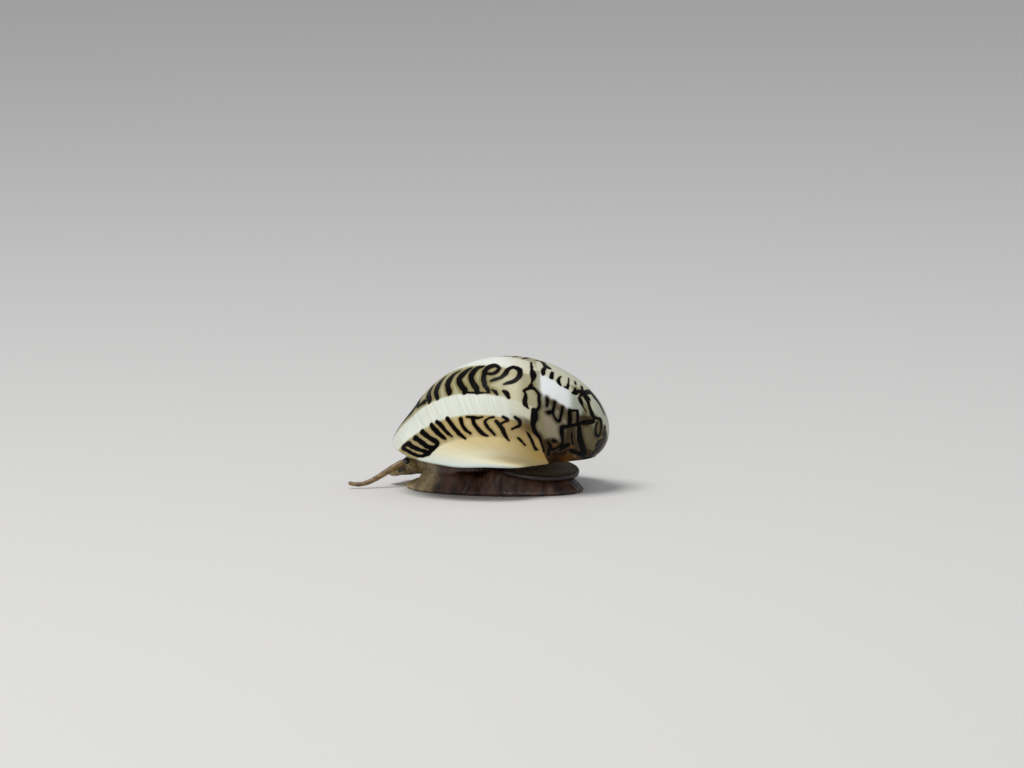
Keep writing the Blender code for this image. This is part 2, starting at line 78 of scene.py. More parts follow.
# Where the sweep is too thin, too steep or joined, the shell's surface is evened out.
RAY_LENGTH = 30.0
LEAST_RISE = radians(0.4)
SHALLOWEST = 4.5
STEEPEST = 0.035
STEP_REACH = 6
AGE_JUMP = 0.4
JOINT_REACH = 3
LIP_ROWS = 14
FLANGE_FROM = radians(86)
FLANGE_FULL = FLANGE_FROM + radians(14)
FLANGE_NARROWS = radians(116)
FLANGE_END = radians(143)
FLANGE_ROWS = 4

# The fineness of the shell's surface.
AROUND = 960
UP = 200
INNER_UP = 40
COARSE_AROUND = 8
COARSE_UP = 4

# Borders between the white and the striped bands, in percent of height, from the left rear upwards: in the
# youngest part of the shell, and before the snail's first pause in growth.
BANDS_YOUNG = (26.8, 34.5, 41.5, 54.0, 63.0, 73.0, 80.0, 88.0)
BANDS_OLD = (25.0, 30.6, 41.0, 47.7, 57.3, 70.0, 78.0, 88.0)
FIRST_PAUSE = 1.88
SECOND_PAUSE = 2.7
STRIPE_GAP = 0.115
MARK_FADES = 0.3

# The dark marks and, below them, the coloured stains in the old whorls. Each is a line through points of
# three numbers: age in thousandths, height in tenths of a percent, and width in hundredths of a millimetre.
LOWER_BAND = (
    (210,336,24, 214,313,23, 212,294,22, 216,274,23, 245,264,27, 290,262,33),
    (220,338,32, 275,334,36, 279,315,31, 287,293,29, 293,275,28, 302,262,28),
    (364,336,36, 373,318,36, 372,301,32, 368,282,29, 385,273,27),
    (459,340,38, 467,322,39, 474,303,35, 479,287,31, 462,277,34, 390,270,35, 325,266,36, 280,262,33),
    (588,345,34, 585,327,35, 585,310,33, 584,294,29, 583,284,19),
    (660,347,29, 676,333,33, 671,313,28, 669,297,24, 674,286,16),
    (781,345,30, 785,326,33, 777,304,31, 774,284,27, 777,269,19),
    (916,334,29, 894,318,28, 880,300,26, 893,284,16),
    (998,340,14, 1058,336,21, 1115,335,19, 1181,339,13),
    (1048,331,28, 1027,314,28, 1030,295,26, 1036,280,24, 1076,273,16),
    (1312,341,19, 1238,335,21, 1174,322,25, 1165,304,26, 1174,290,24, 1184,278,18),
    (1317,329,21, 1337,317,24, 1344,298,29, 1328,278,27, 1330,262,17),
    (1430,347,17, 1480,339,24, 1423,330,17, 1348,319,16),
    (1587,356,19, 1634,348,27, 1626,333,24, 1557,320,19, 1484,309,14),
    (1511,280,13, 1534,270,19, 1561,256,14),
)
UPPER_BAND = (
    (0,433,30, 60,431,38, 120,430,38, 240,434,30),
    (20,435,30, 20,455,42, 30,480,40, 60,506,20),
    (130,433,30, 130,455,44, 150,480,42, 190,516,20),
    (250,446,40, 260,465,44, 290,490,40, 340,518,20),
    (380,454,40, 390,476,44, 420,500,36, 460,520,18),
    (231,435,34, 281,448,51, 363,447,58, 442,446,58, 502,453,51),
    (520,521,21, 534,480,44, 513,461,51, 536,439,35, 593,438,46, 631,431,25),
    (701,504,26, 684,478,48, 670,455,51, 680,430,45, 678,421,35),
    (846,515,27, 806,492,55, 779,468,63, 768,444,45, 775,420,31),
    (1018,518,27, 960,504,55, 921,483,62, 906,456,44, 916,434,44, 917,425,36),
    (1154,524,31, 1098,507,62, 1057,489,68, 1036,469,48, 1050,449,40, 1080,431,48, 1080,422,42),
    (1281,531,31, 1222,521,57, 1183,500,58, 1166,475,45, 1181,454,39, 1211,435,42, 1214,421,37),
    (1474,530,22, 1428,542,35, 1369,535,62, 1323,514,44, 1306,489,39, 1298,466,41, 1311,445,34, 1336,428,31),
    (1464,528,30, 1438,510,38, 1389,497,30, 1346,497,25),
    (1375,467,18, 1431,478,29, 1486,489,33, 1530,508,38, 1563,534,39, 1617,554,36),
    (1617,554,35, 1680,551,43, 1699,533,36, 1673,506,38, 1616,484,32, 1548,470,24, 1514,463,15),
    (1376,434,14, 1406,429,24, 1429,420,19),
    (1502,437,21, 1533,431,34, 1556,419,22),
    (1089,420,12, 1218,418,15, 1349,423,14),
)
FIRST_PAUSE_MARKS = (
    (1827,630,11, 1834,599,23, 1835,579,20, 1844,563,37, 1853,548,44, 1848,532,37, 1838,519,22, 1827,506,17,
     1816,491,31, 1794,479,25, 1755,468,22, 1735,462,22),
    (1815,485,31, 1850,487,20, 1880,482,16, 1913,471,23, 1913,454,22, 1920,440,21, 1918,426,25, 1892,412,28,
     1865,402,28),
    (1735,462,20, 1752,451,18, 1750,436,28, 1738,422,33, 1748,413,28, 1769,406,15, 1785,403,7),
    (1887,671,18, 1926,688,31, 1964,686,38, 2000,665,33, 2030,648,48, 2056,644,46, 2082,648,21),
    (2020,645,22, 1996,620,28, 1979,598,32, 1976,581,28, 1968,569,14),
    (1846,405,35, 1854,388,52, 1839,368,47, 1824,353,36, 1821,338,28, 1833,328,29, 1857,320,28, 1886,313,28,
     1904,302,22, 1913,286,19, 1923,270,21, 1909,252,17),
    (1689,316,11, 1714,307,18, 1730,295,21, 1737,280,21, 1736,262,21, 1742,250,20, 1797,252,9),
)
OLD_MARKS = (
    (2108,623,18, 2090,599,25, 2080,581,30),
    (2230,628,14, 2194,601,22, 2184,581,28, 2206,569,18),
    (2367,657,13, 2348,627,17, 2327,600,24, 2310,580,25),
    (2307,579,29, 2263,573,19),
    (2487,669,16, 2474,646,20),
    (2450,616,15, 2440,599,30, 2429,583,37),
    (2393,573,19, 2478,594,20),
    (2616,675,21, 2604,648,27, 2607,630,36, 2621,616,45, 2639,607,38, 2673,602,42, 2692,583,32, 2721,567,31,
     2754,556,36, 2806,550,26, 2890,561,15, 2973,575,23, 3037,575,39, 3048,556,36, 3054,533,29, 3063,512,36,
     3022,494,20, 2942,493,26, 2899,507,28, 2894,524,26, 2914,543,19),
    (2649,633,21, 2750,671,29, 2859,711,40, 2897,696,58, 2977,693,50, 3034,690,46, 3103,676,42, 3179,662,32,
     3240,654,14),
    (2498,571,27, 2525,565,36, 2544,553,23, 2578,544,10, 2626,536,7),
    (2013,476,14, 2021,465,23, 2020,444,16),
    (2116,474,22, 2113,458,20, 2107,441,19, 2109,428,13, 2134,418,13, 2170,413,18, 2206,413,20, 2220,427,21,
     2227,445,22, 2231,462,22, 2234,474,19),
    (2016,421,11, 2055,424,29, 2090,432,14),
    (2345,482,23, 2355,464,31, 2369,445,31, 2381,427,30),
    (2347,481,17, 2409,495,15, 2468,505,18),
    (2468,504,25, 2486,485,26, 2497,469,26, 2510,451,24),
    (2819,530,28, 2701,501,34, 2606,480,33, 2531,460,29, 2445,436,23, 2352,415,25, 2278,399,29),
    (2267,395,32, 2278,382,32, 2307,364,23, 2337,345,22, 2346,322,26, 2332,301,25),
    (2540,454,30, 2586,430,36, 2644,410,42, 2737,393,44, 2870,381,42, 3025,372,36),
    (2040,308,19, 2077,296,24, 2104,283,21),
    (2046,272,22, 2016,243,24),
    (2143,325,21, 2200,327,21),
    (2143,282,23, 2231,298,23, 2293,315,22, 2345,335,23),
    (2385,319,39, 2447,341,48),
    (2440,406,10, 2474,394,16, 2505,379,14, 2560,364,12),
    (2579,332,32, 2689,338,42, 2822,347,34, 3031,360,35),
    (3197,582,24, 3231,577,31),
    (3184,556,28, 3189,538,34),
    (3175,499,21, 3241,518,23, 3314,539,19),
    (3137,486,29, 3136,460,34),
    (3290,561,42, 3308,535,52, 3303,506,60, 3293,474,70, 3289,443,74, 3290,411,74, 3321,383,72, 3406,363,60),
    (2489,605,20, 2560,618,40, 2650,621,50, 2716,624,32),
    (2516,587,15, 2617,630,32, 2762,681,36),
    (3017,362,21, 3498,357,24),
)
OLIVE_STAINS = (
    (1900,570,36, 1894,543,40, 1890,510,44, 1892,476,40),
    (1955,430,30, 1936,395,34, 1950,360,34, 1990,326,30),
    (2432,610,50, 2540,615,80, 2653,611,80),
    (2594,565,40, 2635,535,48),
    (2384,403,38, 2408,370,38),
    (3034,460,56, 3121,429,52),
)
UMBER_STAINS = (
    (2540,482,50, 2694,509,50, 2775,536,45),
    (2532,370,60, 2761,359,63, 3087,363,59),
    (2431,407,70, 2463,379,86, 2528,347,96),
    (2006,293,55, 2133,297,73, 2267,312,78),
    (2905,383,39, 3153,403,48),
    (3283,530,46, 3318,499,76, 3256,453,92),
    (2733,522,36, 2623,485,37),
)
SLATE_STAINS = (
    (2034,466,34, 2145,466,42, 2267,462,42, 2308,447,40),
    (2401,477,45, 2426,455,47, 2449,433,46),
    (2600,514,40, 2654,501,60),
    (2640,476,50, 2724,466,100, 2836,434,124, 2962,408,97),
    (3075,474,67, 3098,508,66),
)
AMBER_STAINS = (
    (2549,350,18, 2581,349,14),
    (2740,336,30, 2775,347,24),
    (2187,311,16, 2209,311,12),
    (3216,422,26, 3193,400,26),
    (3221,485,22, 3206,466,20),
)


def smooth(low, high, value):
    """0 at low and before it, 1 at high and past it, with an even blend between."""
    t = np.clip((np.asarray(value, float) - low) / (high - low), 0, 1)
    return t * t * (3 - 2 * t)


def full_turn(count):
    return 2 * pi * np.arange(count) / count


# The spiral


def oval(angle):
    """Points of the lip's oval, seen from above, at an array of angles."""
    return np.stack([np.cos(angle), np.sin(angle)], -1) * LIP_HALF


def lip_wave(angle):
    return LIP_FRONT_LIFT * np.cos(angle) ** 2 + LIP_WAVE * np.cos(3 * angle)


def spiral_point(age, height):
    """The point of the shell at arrays of age and height, in the shell's frame."""
    age, height = np.asarray(age, float), np.asarray(height, float)
    angle = LIP_LEFT_END + (LIP_RIGHT_END - LIP_LEFT_END) * height / 100
    lip = np.concatenate([oval(angle), lip_wave(angle)[..., None]], -1) - APEX
    flat = cos(AXIS_RISE)
    axis = np.array([-sin(AXIS_BACK) * flat, -cos(AXIS_BACK) * flat, sin(AXIS_RISE)])
    side = np.cross(axis, lip)
    along = (lip @ axis)[..., None] * axis
    t = age[..., None]
    turned = lip * np.cos(t) + side * np.sin(t) + along * (1 - np.cos(t))
    return APEX + np.exp(-SHRINK_PER_RADIAN * t) * turned


def off_ahead(angle):
    """An angle from straight ahead, on either side, from 0 to half a turn."""
    return np.abs((np.asarray(angle, float) + pi) % (2 * pi) - pi)


def arch_share(angle):
    """How much of its full arch over the head the lip has at an angle: 1 in front, 0 along the sides."""
    share = (LIP_ARCH_FROM - off_ahead(angle)) / (LIP_ARCH_FROM - LIP_ARCH_FULL)
    return 1 - (1 - np.clip(share, 0, 1)) ** 1.3


def rim_lift(angle):
    """How far the shell's edge stands off the plane of its mouth, as a mean over the angles about one."""
    turns = np.linspace(-1, 1, 13)
    weights = 1 - turns**2 + 0.01
    total = 0
    for turn, weight in zip(turns * LIP_EVENING, weights / weights.sum()):
        here = angle + turn
        wave = lip_wave(here) * (1 - smooth(LIP_FLAT_FROM, LIP_FLAT_AT, off_ahead(here)))
        total = total + weight * (wave + LIP_ARCH * arch_share(here))
    return total


def spokes(angle, rise):
    """Starts and unit directions of rays from the shell's hub, at arrays of angle and rise."""
    flat = oval(angle)
    flat /= np.linalg.norm(flat, axis=-1, keepdims=True)
    direction = np.concatenate([flat * np.cos(rise)[..., None], np.sin(rise)[..., None]], -1)
    start = np.zeros(direction.shape) + HUB
    start[..., 2] += rim_lift(angle) * np.cos(rise)
    return start, direction


def mean_of_neighbours(table):
    """The mean of the four cells about each cell of a table whose rows run round."""
    wider = np.concatenate([table[:, :1], table, table[:, -1:]], axis=1)
    return (np.roll(table, 1, 0) + np.roll(table, -1, 0) + wider[:, :-2] + wider[:, 2:]) / 4


def evened(table, cells, rounds):
    """A table with the marked cells drawn towards the mean of their neighbours, again and again."""
    for _ in range(rounds):
        table = np.where(cells, mean_of_neighbours(table), table)
    return table


def grown(cells, rounds):
    """Marked cells of a table, and those about them."""
    for _ in range(rounds):
        cells = cells | (mean_of_neighbours(cells.astype(float)) > 0)
    return cells


def grow_surface(age_steps=560, height_steps=110):
    """The swept whorls as a search tree, with the ages and heights of its grid."""
    ages = np.linspace(0, LAST_TURN, age_steps)
    heights = np.linspace(0, 100, height_steps)
    points = spiral_point(*np.meshgrid(ages, heights, indexing="ij")).reshape(-1, 3)
    faces = ring_faces(age_steps, height_steps, height_steps - 1)
    return BVHTree.FromPolygons(points.tolist(), faces), ages, heights


def settle(target, age, height, rounds=4):
    """Ages and heights of the surface points nearest to target points, from a first guess of them."""
    for _ in range(rounds):
        here = spiral_point(age, height)
        by_age = (spiral_point(age + 1e-4, height) - here) / 1e-4
        by_height = (spiral_point(age, height + 1e-2) - here) / 1e-2
        miss = target - here
        aa, hh = (by_age * by_age).sum(-1), (by_height * by_height).sum(-1)
        ah = (by_age * by_height).sum(-1)
        ma, mh = (miss * by_age).sum(-1), (miss * by_height).sum(-1)
        det = np.maximum(aa * hh - ah * ah, 1e-12)
        age = np.clip(age + np.clip((hh * ma - ah * mh) / det, -0.1, 0.1), 0, LAST_TURN)
        height = np.clip(height + np.clip((aa * mh - ah * ma) / det, -3, 3), 0, 100)
    return age, height


def flange_rows(angles):
    """The rows where the foot of the shell is a thin flange, and how wide it still is, from 1 down to 0."""
    rows = np.nonzero((angles > FLANGE_FROM) & (angles < FLANGE_END))[0]
    return rows, 1 - smooth(FLANGE_NARROWS, FLANGE_END, angles[rows])


def spread_flange(angles, distance):
    """Brings the foot of the shell out to the lip at the left rear, where it is so thin that rays miss it."""
    rows, width = flange_rows(angles)
    way = spokes(angles[rows], np.zeros(len(rows)))[1][:, :2] / LIP_HALF
    hub = HUB[:2] / LIP_HALF
    a, b, c = (way**2).sum(-1), (way * hub).sum(-1), (hub**2).sum() - 1
    lip = (-b + np.sqrt(b * b - a * c)) / a
    sound = distance[rows, FLANGE_ROWS]
    blend = smooth(FLANGE_FROM, FLANGE_FULL, angles[rows])
    for k in range(FLANGE_ROWS):
        wanted = sound + (lip - sound) * width * (1 - (k / FLANGE_ROWS) ** 0.6)
        found = np.where(np.isnan(distance[rows, k]), wanted, distance[rows, k])
        distance[rows, k] = found + (wanted - found) * blend


def grow_flange(angles, age, height):
    """Ages and heights on the flange, from the lip's own to those of the shell above it."""
    rows, width = flange_rows(angles)
    lip_height = np.clip((LIP_LEFT_END - angles[rows]) / (LIP_LEFT_END - LIP_RIGHT_END), 0, 1) * 100
    for k in range(FLANGE_ROWS):
        share = 1 - width * (1 - (k / FLANGE_ROWS) ** 0.6)
        age[rows, k] = age[rows, FLANGE_ROWS] * share
        height[rows, k] = lip_height + (height[rows, FLANGE_ROWS] - lip_height) * share


def outer_shell():
    """The outermost surface of the shell on a grid of angles (rows) and rises (columns).

    Returns its points without and with the flare of the lip, the age and height of each, how deep it lies in
    the joint between whorls, from 0 to 1, and the rises.
    """
    tree, ages, heights = grow_surface()
    angles = full_turn(AROUND)
    rises = LEAST_RISE + (pi / 2 - LEAST_RISE) * np.arange(UP + 1) / UP
    angle, rise = np.meshgrid(angles, rises, indexing="ij")
    start, direction = spokes(angle, rise)
    distance = np.full(angle.shape, np.nan)
    age, height = np.zeros(angle.shape), np.zeros(angle.shape)
    columns = len(heights) - 1
    for i, k in np.ndindex(angle.shape):
        aim = Vector(direction[i, k])
        hit = tree.ray_cast(Vector(start[i, k]) + aim * RAY_LENGTH, -aim)
        if hit[0] is not None and RAY_LENGTH - hit[3] > SHALLOWEST:
            distance[i, k] = RAY_LENGTH - hit[3]
            age[i, k] = ages[hit[2] // columns]
            height[i, k] = heights[hit[2] % columns]

    spread_flange(angles, distance)
    for k in range(LIP_ROWS, -1, -1):
        above, over = distance[:, k + 1], distance[:, k + 2]
        bare = np.isnan(distance[:, k]) & ~np.isnan(above) & ~np.isnan(over)
        distance[bare, k] = above[bare] + 0.9 * (above[bare] - over[bare])
        age[bare, k], height[bare, k] = age[bare, k + 1], height[bare, k + 1]
    seam = np.isnan(distance)
    coarse = distance[::COARSE_AROUND, ::COARSE_UP]
    holes = np.isnan(coarse)
    coarse = evened(np.where(holes, np.nanmean(coarse), coarse), holes, 500)
    filled = np.kron(coarse, np.ones((COARSE_AROUND, COARSE_UP)))[:AROUND, : UP + 1]
    distance = evened(np.where(seam, filled, distance), seam, 500)
    step = grown(np.abs(distance - mean_of_neighbours(distance)) > STEEPEST, STEP_REACH)
    flange = flange_rows(angles)[0]
    step[flange, :LIP_ROWS] = False
    distance = evened(distance, step, 250)

    points = start + direction * distance[..., None]
    sound = ~seam
    age[sound], height[sound] = settle(points[sound], age[sound], height[sound])
    exact = spiral_point(age, height)
    near = sound & ~step & (np.linalg.norm(exact - points, axis=-1) < 0.05)
    near[flange, :FLANGE_ROWS] = False
    points[near] = exact[near]
    points[:, -1] = points[:, -2].mean(0)
    grow_flange(angles, age, height)
    height = np.where(seam, 100.0, height)
    joint = grown(seam | (np.abs(age - mean_of_neighbours(age)) > AGE_JUMP), JOINT_REACH)
    age, height = evened(age, joint, 300), evened(height, joint, 300)
    hidden = evened(joint.astype(float), True, 5)
    flare = LIP_FLARE * np.outer(arch_share(angles), 1 - smooth(0, LIP_FLARE_FADES, rises))
    return points, points + direction * flare[..., None], age, height, smooth(0.05, 0.75, hidden), rises


# The markings


def curve_through(marks, step=0.04):
    """Even points on a smooth curve through (age, height, width) marks, and the curve's width at each."""
    padded = np.concatenate([2 * marks[:1] - marks[1:2], marks, 2 * marks[-1:] - marks[-2:-1]])
    a, b, c, d = (padded[k : len(marks) + k - 1, None] for k in range(4))
    t = np.linspace(0, 1, 13)[:, None]
    line = 0.5 * (2 * b + (c - a) * t + (2 * a - 5 * b + 4 * c - d) * t**2 + (3 * b - a - 3 * c + d) * t**3)
    line = line.reshape(-1, 3)
    line[:, 0] = np.maximum(line[:, 0], 0)
    points = spiral_point(line[:, 0], line[:, 1])
    run = np.concatenate([[0], np.cumsum(np.linalg.norm(np.diff(points, axis=0), axis=1))])
    stops = np.linspace(0, run[-1], max(2, int(run[-1] / step) + 1))
    spaced = np.stack([np.interp(stops, run, points[:, k]) for k in range(3)], -1)
    return spaced, np.maximum(np.interp(stops, run, line[:, 2]), 0.05)


def drawn_marks(*groups):
    """The marks of the tables as arrays of ages, heights and widths."""
    return [np.reshape(marks, (-1, 3)) / (1000, 10, 100) for group in groups for marks in group]


def tapered(width, line):
    """A line of (age, height) points as a mark that is widest in its middle."""
    widths = [width * (0.62 + 0.4 * sin(pi * t)) for t in np.linspace(0, 1, len(line))]
    return np.column_stack([line, widths])


def far_marks():
    """Stripes on the right side and the old whorls, which carry on the hooks and breaks of the left."""
    chance = np.random.default_rng(7)
    marks = []
    for low, high, first, last in (
        (64.0, 72.4, 0.03, 1.8),
        (80.6, 87.4, 0.03, 1.8),
        (80.4, 87.6, 1.96, 3.6),
        (60.0, 69.0, 3.7, 5.4),
        (35.0, 47.0, 3.75, 5.4),
    ):
        age = first
        foot_before = None
        while age < last:
            gap = STRIPE_GAP * (0.85 + 0.35 * chance.random())
            lean = 0.05 * (chance.random() - 0.25)
            sways = 0.016 * (chance.random(6) - 0.5)
            top = high - 0.7 * chance.random() ** 2
            foot = low + 0.7 * chance.random() ** 2
            line = [
                (age + lean * t + 0.03 * sin(pi * t) + sway, foot + (top - foot) * t)
                for t, sway in zip(np.linspace(0, 1, 6), sways)
            ]
            width = 0.5 * gap * 9.5 * exp(-SHRINK_PER_RADIAN * age)
            pick = chance.random()
            if pick < 0.14:
                line = line[:4]
            elif pick < 0.28:
                line.append((line[-1][0] + gap * 0.6, top - 0.4))
            elif pick < 0.4:
                line = line[2:]
                line.insert(0, (line[0][0] - gap * 0.5, line[0][1] - 0.9))
            marks.append(tapered(width, line))
            if foot_before is not None and chance.random() < 0.3:
                link = (foot_before, ((foot_before[0] + age) / 2, low - 0.2), (age, foot))
                marks.append(tapered(width * 0.8, link))
            foot_before = (age, foot) if pick < 0.28 or pick >= 0.4 else None
            age += gap
    for k in range(29):
        age = 5.4 + STRIPE_GAP * k
        size = exp(-SHRINK_PER_RADIAN * age)
        a, b, c = chance.random(3)
        line = ((age, 38 + 6 * a), (age + 0.03, 46), (age + 0.02, 55), (age + 0.03 * b, 64 + 6 * c))
        marks.append(tapered(0.55 * size, line))
    return marks


def search_tree(points):
    tree = kdtree.KDTree(len(points))
    for i, point in enumerate(points.tolist()):
        tree.insert(point, i)
    tree.balance()
    return tree


def depth_in(points, marks):
    """How far inside any of the marks each point lies, in millimetres: above 0 in one, below 0 outside."""
    tree = search_tree(points)
    depth = np.full(len(points), -1.0)
    for mark in marks:
        line, widths = curve_through(mark)
        for centre, width in zip(line.tolist(), widths.tolist()):
            for _, i, away in tree.find_range(centre, width / 2 + MARK_FADES):
                depth[i] = max(depth[i], width / 2 - away)
    return depth


def band_weights(age, height):
    """1 where a point lies in a striped band and 0 in a white one, softly."""
    old = smooth(FIRST_PAUSE - 0.03, FIRST_PAUSE + 0.03, age)
    edges = [young + (early - young) * old for young, early in zip(BANDS_YOUNG, BANDS_OLD)]
    striped = np.zeros(age.shape)
    for low, high in zip(edges[::2], edges[1::2]):
        band = smooth(low - 0.4, low + 0.6, height) * smooth(high + 0.4, high - 0.4, height)
        striped = np.maximum(striped, band)
    return striped


# Making meshes


def add_object(name, data):
    made = bpy.data.objects.new(name, data)
    bpy.context.scene.collection.objects.link(made)
    return made


def mesh_object(name, points, faces, scale=MM):
    mesh = bpy.data.meshes.new(name)
    mesh.from_pydata((np.asarray(points, float) * scale).tolist(), [], faces)
    mesh.shade_smooth()
    return add_object(name, mesh)


def set_attributes(made, **values):
    for name, table in values.items():
        attribute = made.data.attributes.new(name, "FLOAT", "POINT")
        attribute.data.foreach_set("value", np.asarray(table, np.float32))


def weld(made):
    """Joins the points that coincide and turns the faces outwards."""
    build = bmesh.new()
    build.from_mesh(made.data)
    bmesh.ops.remove_doubles(build, verts=build.verts, dist=1e-7)
    bmesh.ops.recalc_face_normals(build, faces=build.faces)
    build.to_mesh(made.data)
    build.free()
    made.data.shade_smooth()
    return made


def ring_faces(rows, count, columns=None):
    """The faces between rings of equal count, or in their first columns only."""
    r, c = np.meshgrid(np.arange(rows - 1), np.arange(columns or count), indexing="ij")
    r, c = r.ravel(), c.ravel()
    n = (c + 1) % count
    return np.stack([r * count + c, r * count + n, (r + 1) * count + n, (r + 1) * count + c], -1).tolist()


def make_shell():
    """The shell as rings: the outside from its top down, the rounded lip, and the inside back up."""
    drawn, points, age, height, seam, rises = outer_shell()
    angles = full_turn(AROUND)
    outward = spokes(angles, np.zeros(AROUND))[1]
    lip = []
    for turn in np.linspace(0, pi, 9)[1:]:
        row = points[:, 0] - outward * (LIP_WALL / 2 * (1 - cos(turn)))
        row[:, 2] -= LIP_ROUNDING * sin(turn)
        lip.append(row)
    inner = []
    for k in range(1, INNER_UP + 1):
        step = int(round(UP * k / INNER_UP))
        wall = LIP_WALL + (WALL - LIP_WALL) * float(smooth(0, LIP_WALL_ENDS, rises[step]))
        inner.append(points[:, step] - spokes(angles, np.full(AROUND, rises[step]))[1] * wall)
    inner[-1] = np.repeat(inner[-1].mean(0)[None], AROUND, 0)
    below = len(lip) + len(inner)
    rows = [*points[:, ::-1].swapaxes(0, 1), *lip, *inner]
    made = mesh_object("shell", np.concatenate(rows) + (0, 0, RIM_HEIGHT), ring_faces(len(rows), AROUND))

    def carried(table, lower=1):
        """A value for each point, where the rings below the outside take the lip's value times lower."""
        return np.concatenate([table[:, ::-1].T, np.repeat(table[:, :1].T * lower, below, 0)]).ravel()

    outer = drawn[:, ::-1].swapaxes(0, 1).reshape(-1, 3)
    marks = drawn_marks(LOWER_BAND, UPPER_BAND, FIRST_PAUSE_MARKS, OLD_MARKS) + far_marks()
    ink = depth_in(outer, marks)
    ink = np.concatenate([ink, np.tile(ink[-AROUND:], len(lip)), np.full(len(inner) * AROUND, -1.0)])
    age, height, seam = carried(age), carried(height), carried(seam, 0)
    set_attributes(made, ink=ink - (1 + ink) * seam)
    stains = {"olive": OLIVE_STAINS, "slate": SLATE_STAINS, "umber": UMBER_STAINS, "amber": AMBER_STAINS}
    for name, group in stains.items():
        stain = np.append(depth_in(outer, drawn_marks(group)), np.full(below * AROUND, -1.0))
        set_attributes(made, **{name: smooth(-0.16, 0.1, stain)})
    inside = np.concatenate([np.zeros(UP + 1), np.minimum(1.0, np.arange(1, below + 1) / 6)])
    striped = band_weights(age, height) * (1 - seam)
    set_attributes(made, age=age, height=height, striped=striped, inside=np.repeat(inside, AROUND))
    return weld(made), points, rises


# The flesh

VOXEL = 0.065
BODY_INSET = 0.84
BODY_REAR_FLOOR = 1.1
MANTLE_LOW = 0.24
NECK = (1.9, 0.0)
NECK_HALF_LENGTH = 3.2
NECK_HALF_WIDTH = 3.6
SOLE_HALF_LENGTH = 6.9
SOLE_HALF_WIDTH = 4.1
SOLE_FRONT_FLARE = 0.12
SOLE_SHIFT = 0.2
SOLE_EDGE = 0.5
SOLE_FLAT = 0.93
FOOT_TOP = 1.5
FOOT_FRONT_TOP = 0.6
FOOT_STEP = 5.1
PLATE_FRONT = -1.9
PLATE_CENTRE = -3.0
PLATE_REAR = -6.0
PLATE_HALF_WIDTH = 3.35
PLATE_LOW = 0.95
PLATE_HIGH = 1.72
PLATE_BEDDED = 0.06
PLATE_GROOVES = 11
TENTACLES = {
    1: ((6.45, 0.95, 1.8), (7.6, 2.4, 1.6), (8.4, 3.3, -0.15), (9.8, 3.95, 0.4)),
    -1: ((6.45, -0.95, 1.8), (7.5, -2.3, 1.9), (8.9, -3.5, 1.5), (9.7, -4.7, 1.0)),
}
TENTACLE_ROOT = 0.31
TENTACLE_TIP = 0.15
EYE_RADIUS = 0.25
# A dark spot painted on the skin ahead of and below the left eye.
DARK_SPOT = ((6.96, 1.42, 1.17), (7.1, 1.43, 1.14), (7.24, 1.45, 1.13))


def closed_form(rows, first_pole, last_pole):
    """Points and faces of a closed surface through rings of equal count between two poles."""
    count = len(rows[0])
    points = np.concatenate([*rows, [first_pole], [last_pole]])
    faces = ring_faces(len(rows), count)
    first, end = len(points) - 2, (len(rows) - 1) * count
    for i in range(count):
        j = (i + 1) % count
        faces += [(j, i, first), (end + i, end + j, first + 1)]
    return points, faces


def ellipsoid_form(centre, half, lean=0.0, around=40, rings=20):
    """An ellipsoid whose nose may lean down (lean in radians, about the sideways axis)."""
    turn = full_turn(around)
    c, s = cos(lean), sin(lean)
    spin = np.array([[c, 0, s], [0, 1, 0], [-s, 0, c]]).T

    def placed(points):
        return (points * half) @ spin + centre

    rows = []
    for t in pi * np.arange(1, rings) / rings:
        row = (sin(t) * np.cos(turn), sin(t) * np.sin(turn), np.full(around, cos(t)))
        rows.append(placed(np.stack(row, -1)))
    return closed_form(rows, *placed(np.array([[0, 0, 1], [0, 0, -1]])))


def tube_form(path, radii, sides=20):
    path = np.asarray(path, float)
    along = np.gradient(path, axis=0)
    along /= np.linalg.norm(along, axis=1, keepdims=True)
    across = np.cross(along, (0, 0, 1.0))
    across /= np.linalg.norm(across, axis=1, keepdims=True)
    up = np.cross(across, along)
    turn = full_turn(sides)
    rows = [
        centre + radius * (np.outer(np.cos(turn), a) + np.outer(np.sin(turn), u))
        for centre, radius, a, u in zip(path, radii, across, up)
    ]
    return closed_form(rows, path[0] - along[0] * radii[0] * 0.8, path[-1] + along[-1] * radii[-1])


def bezier(marks, shares):
    a, b, c, d = np.array(marks, float)
    t = np.asarray(shares, float)[:, None]
    u = 1 - t
    return u**3 * a + 3 * u * u * t * b + 3 * u * t * t * c + t**3 * d


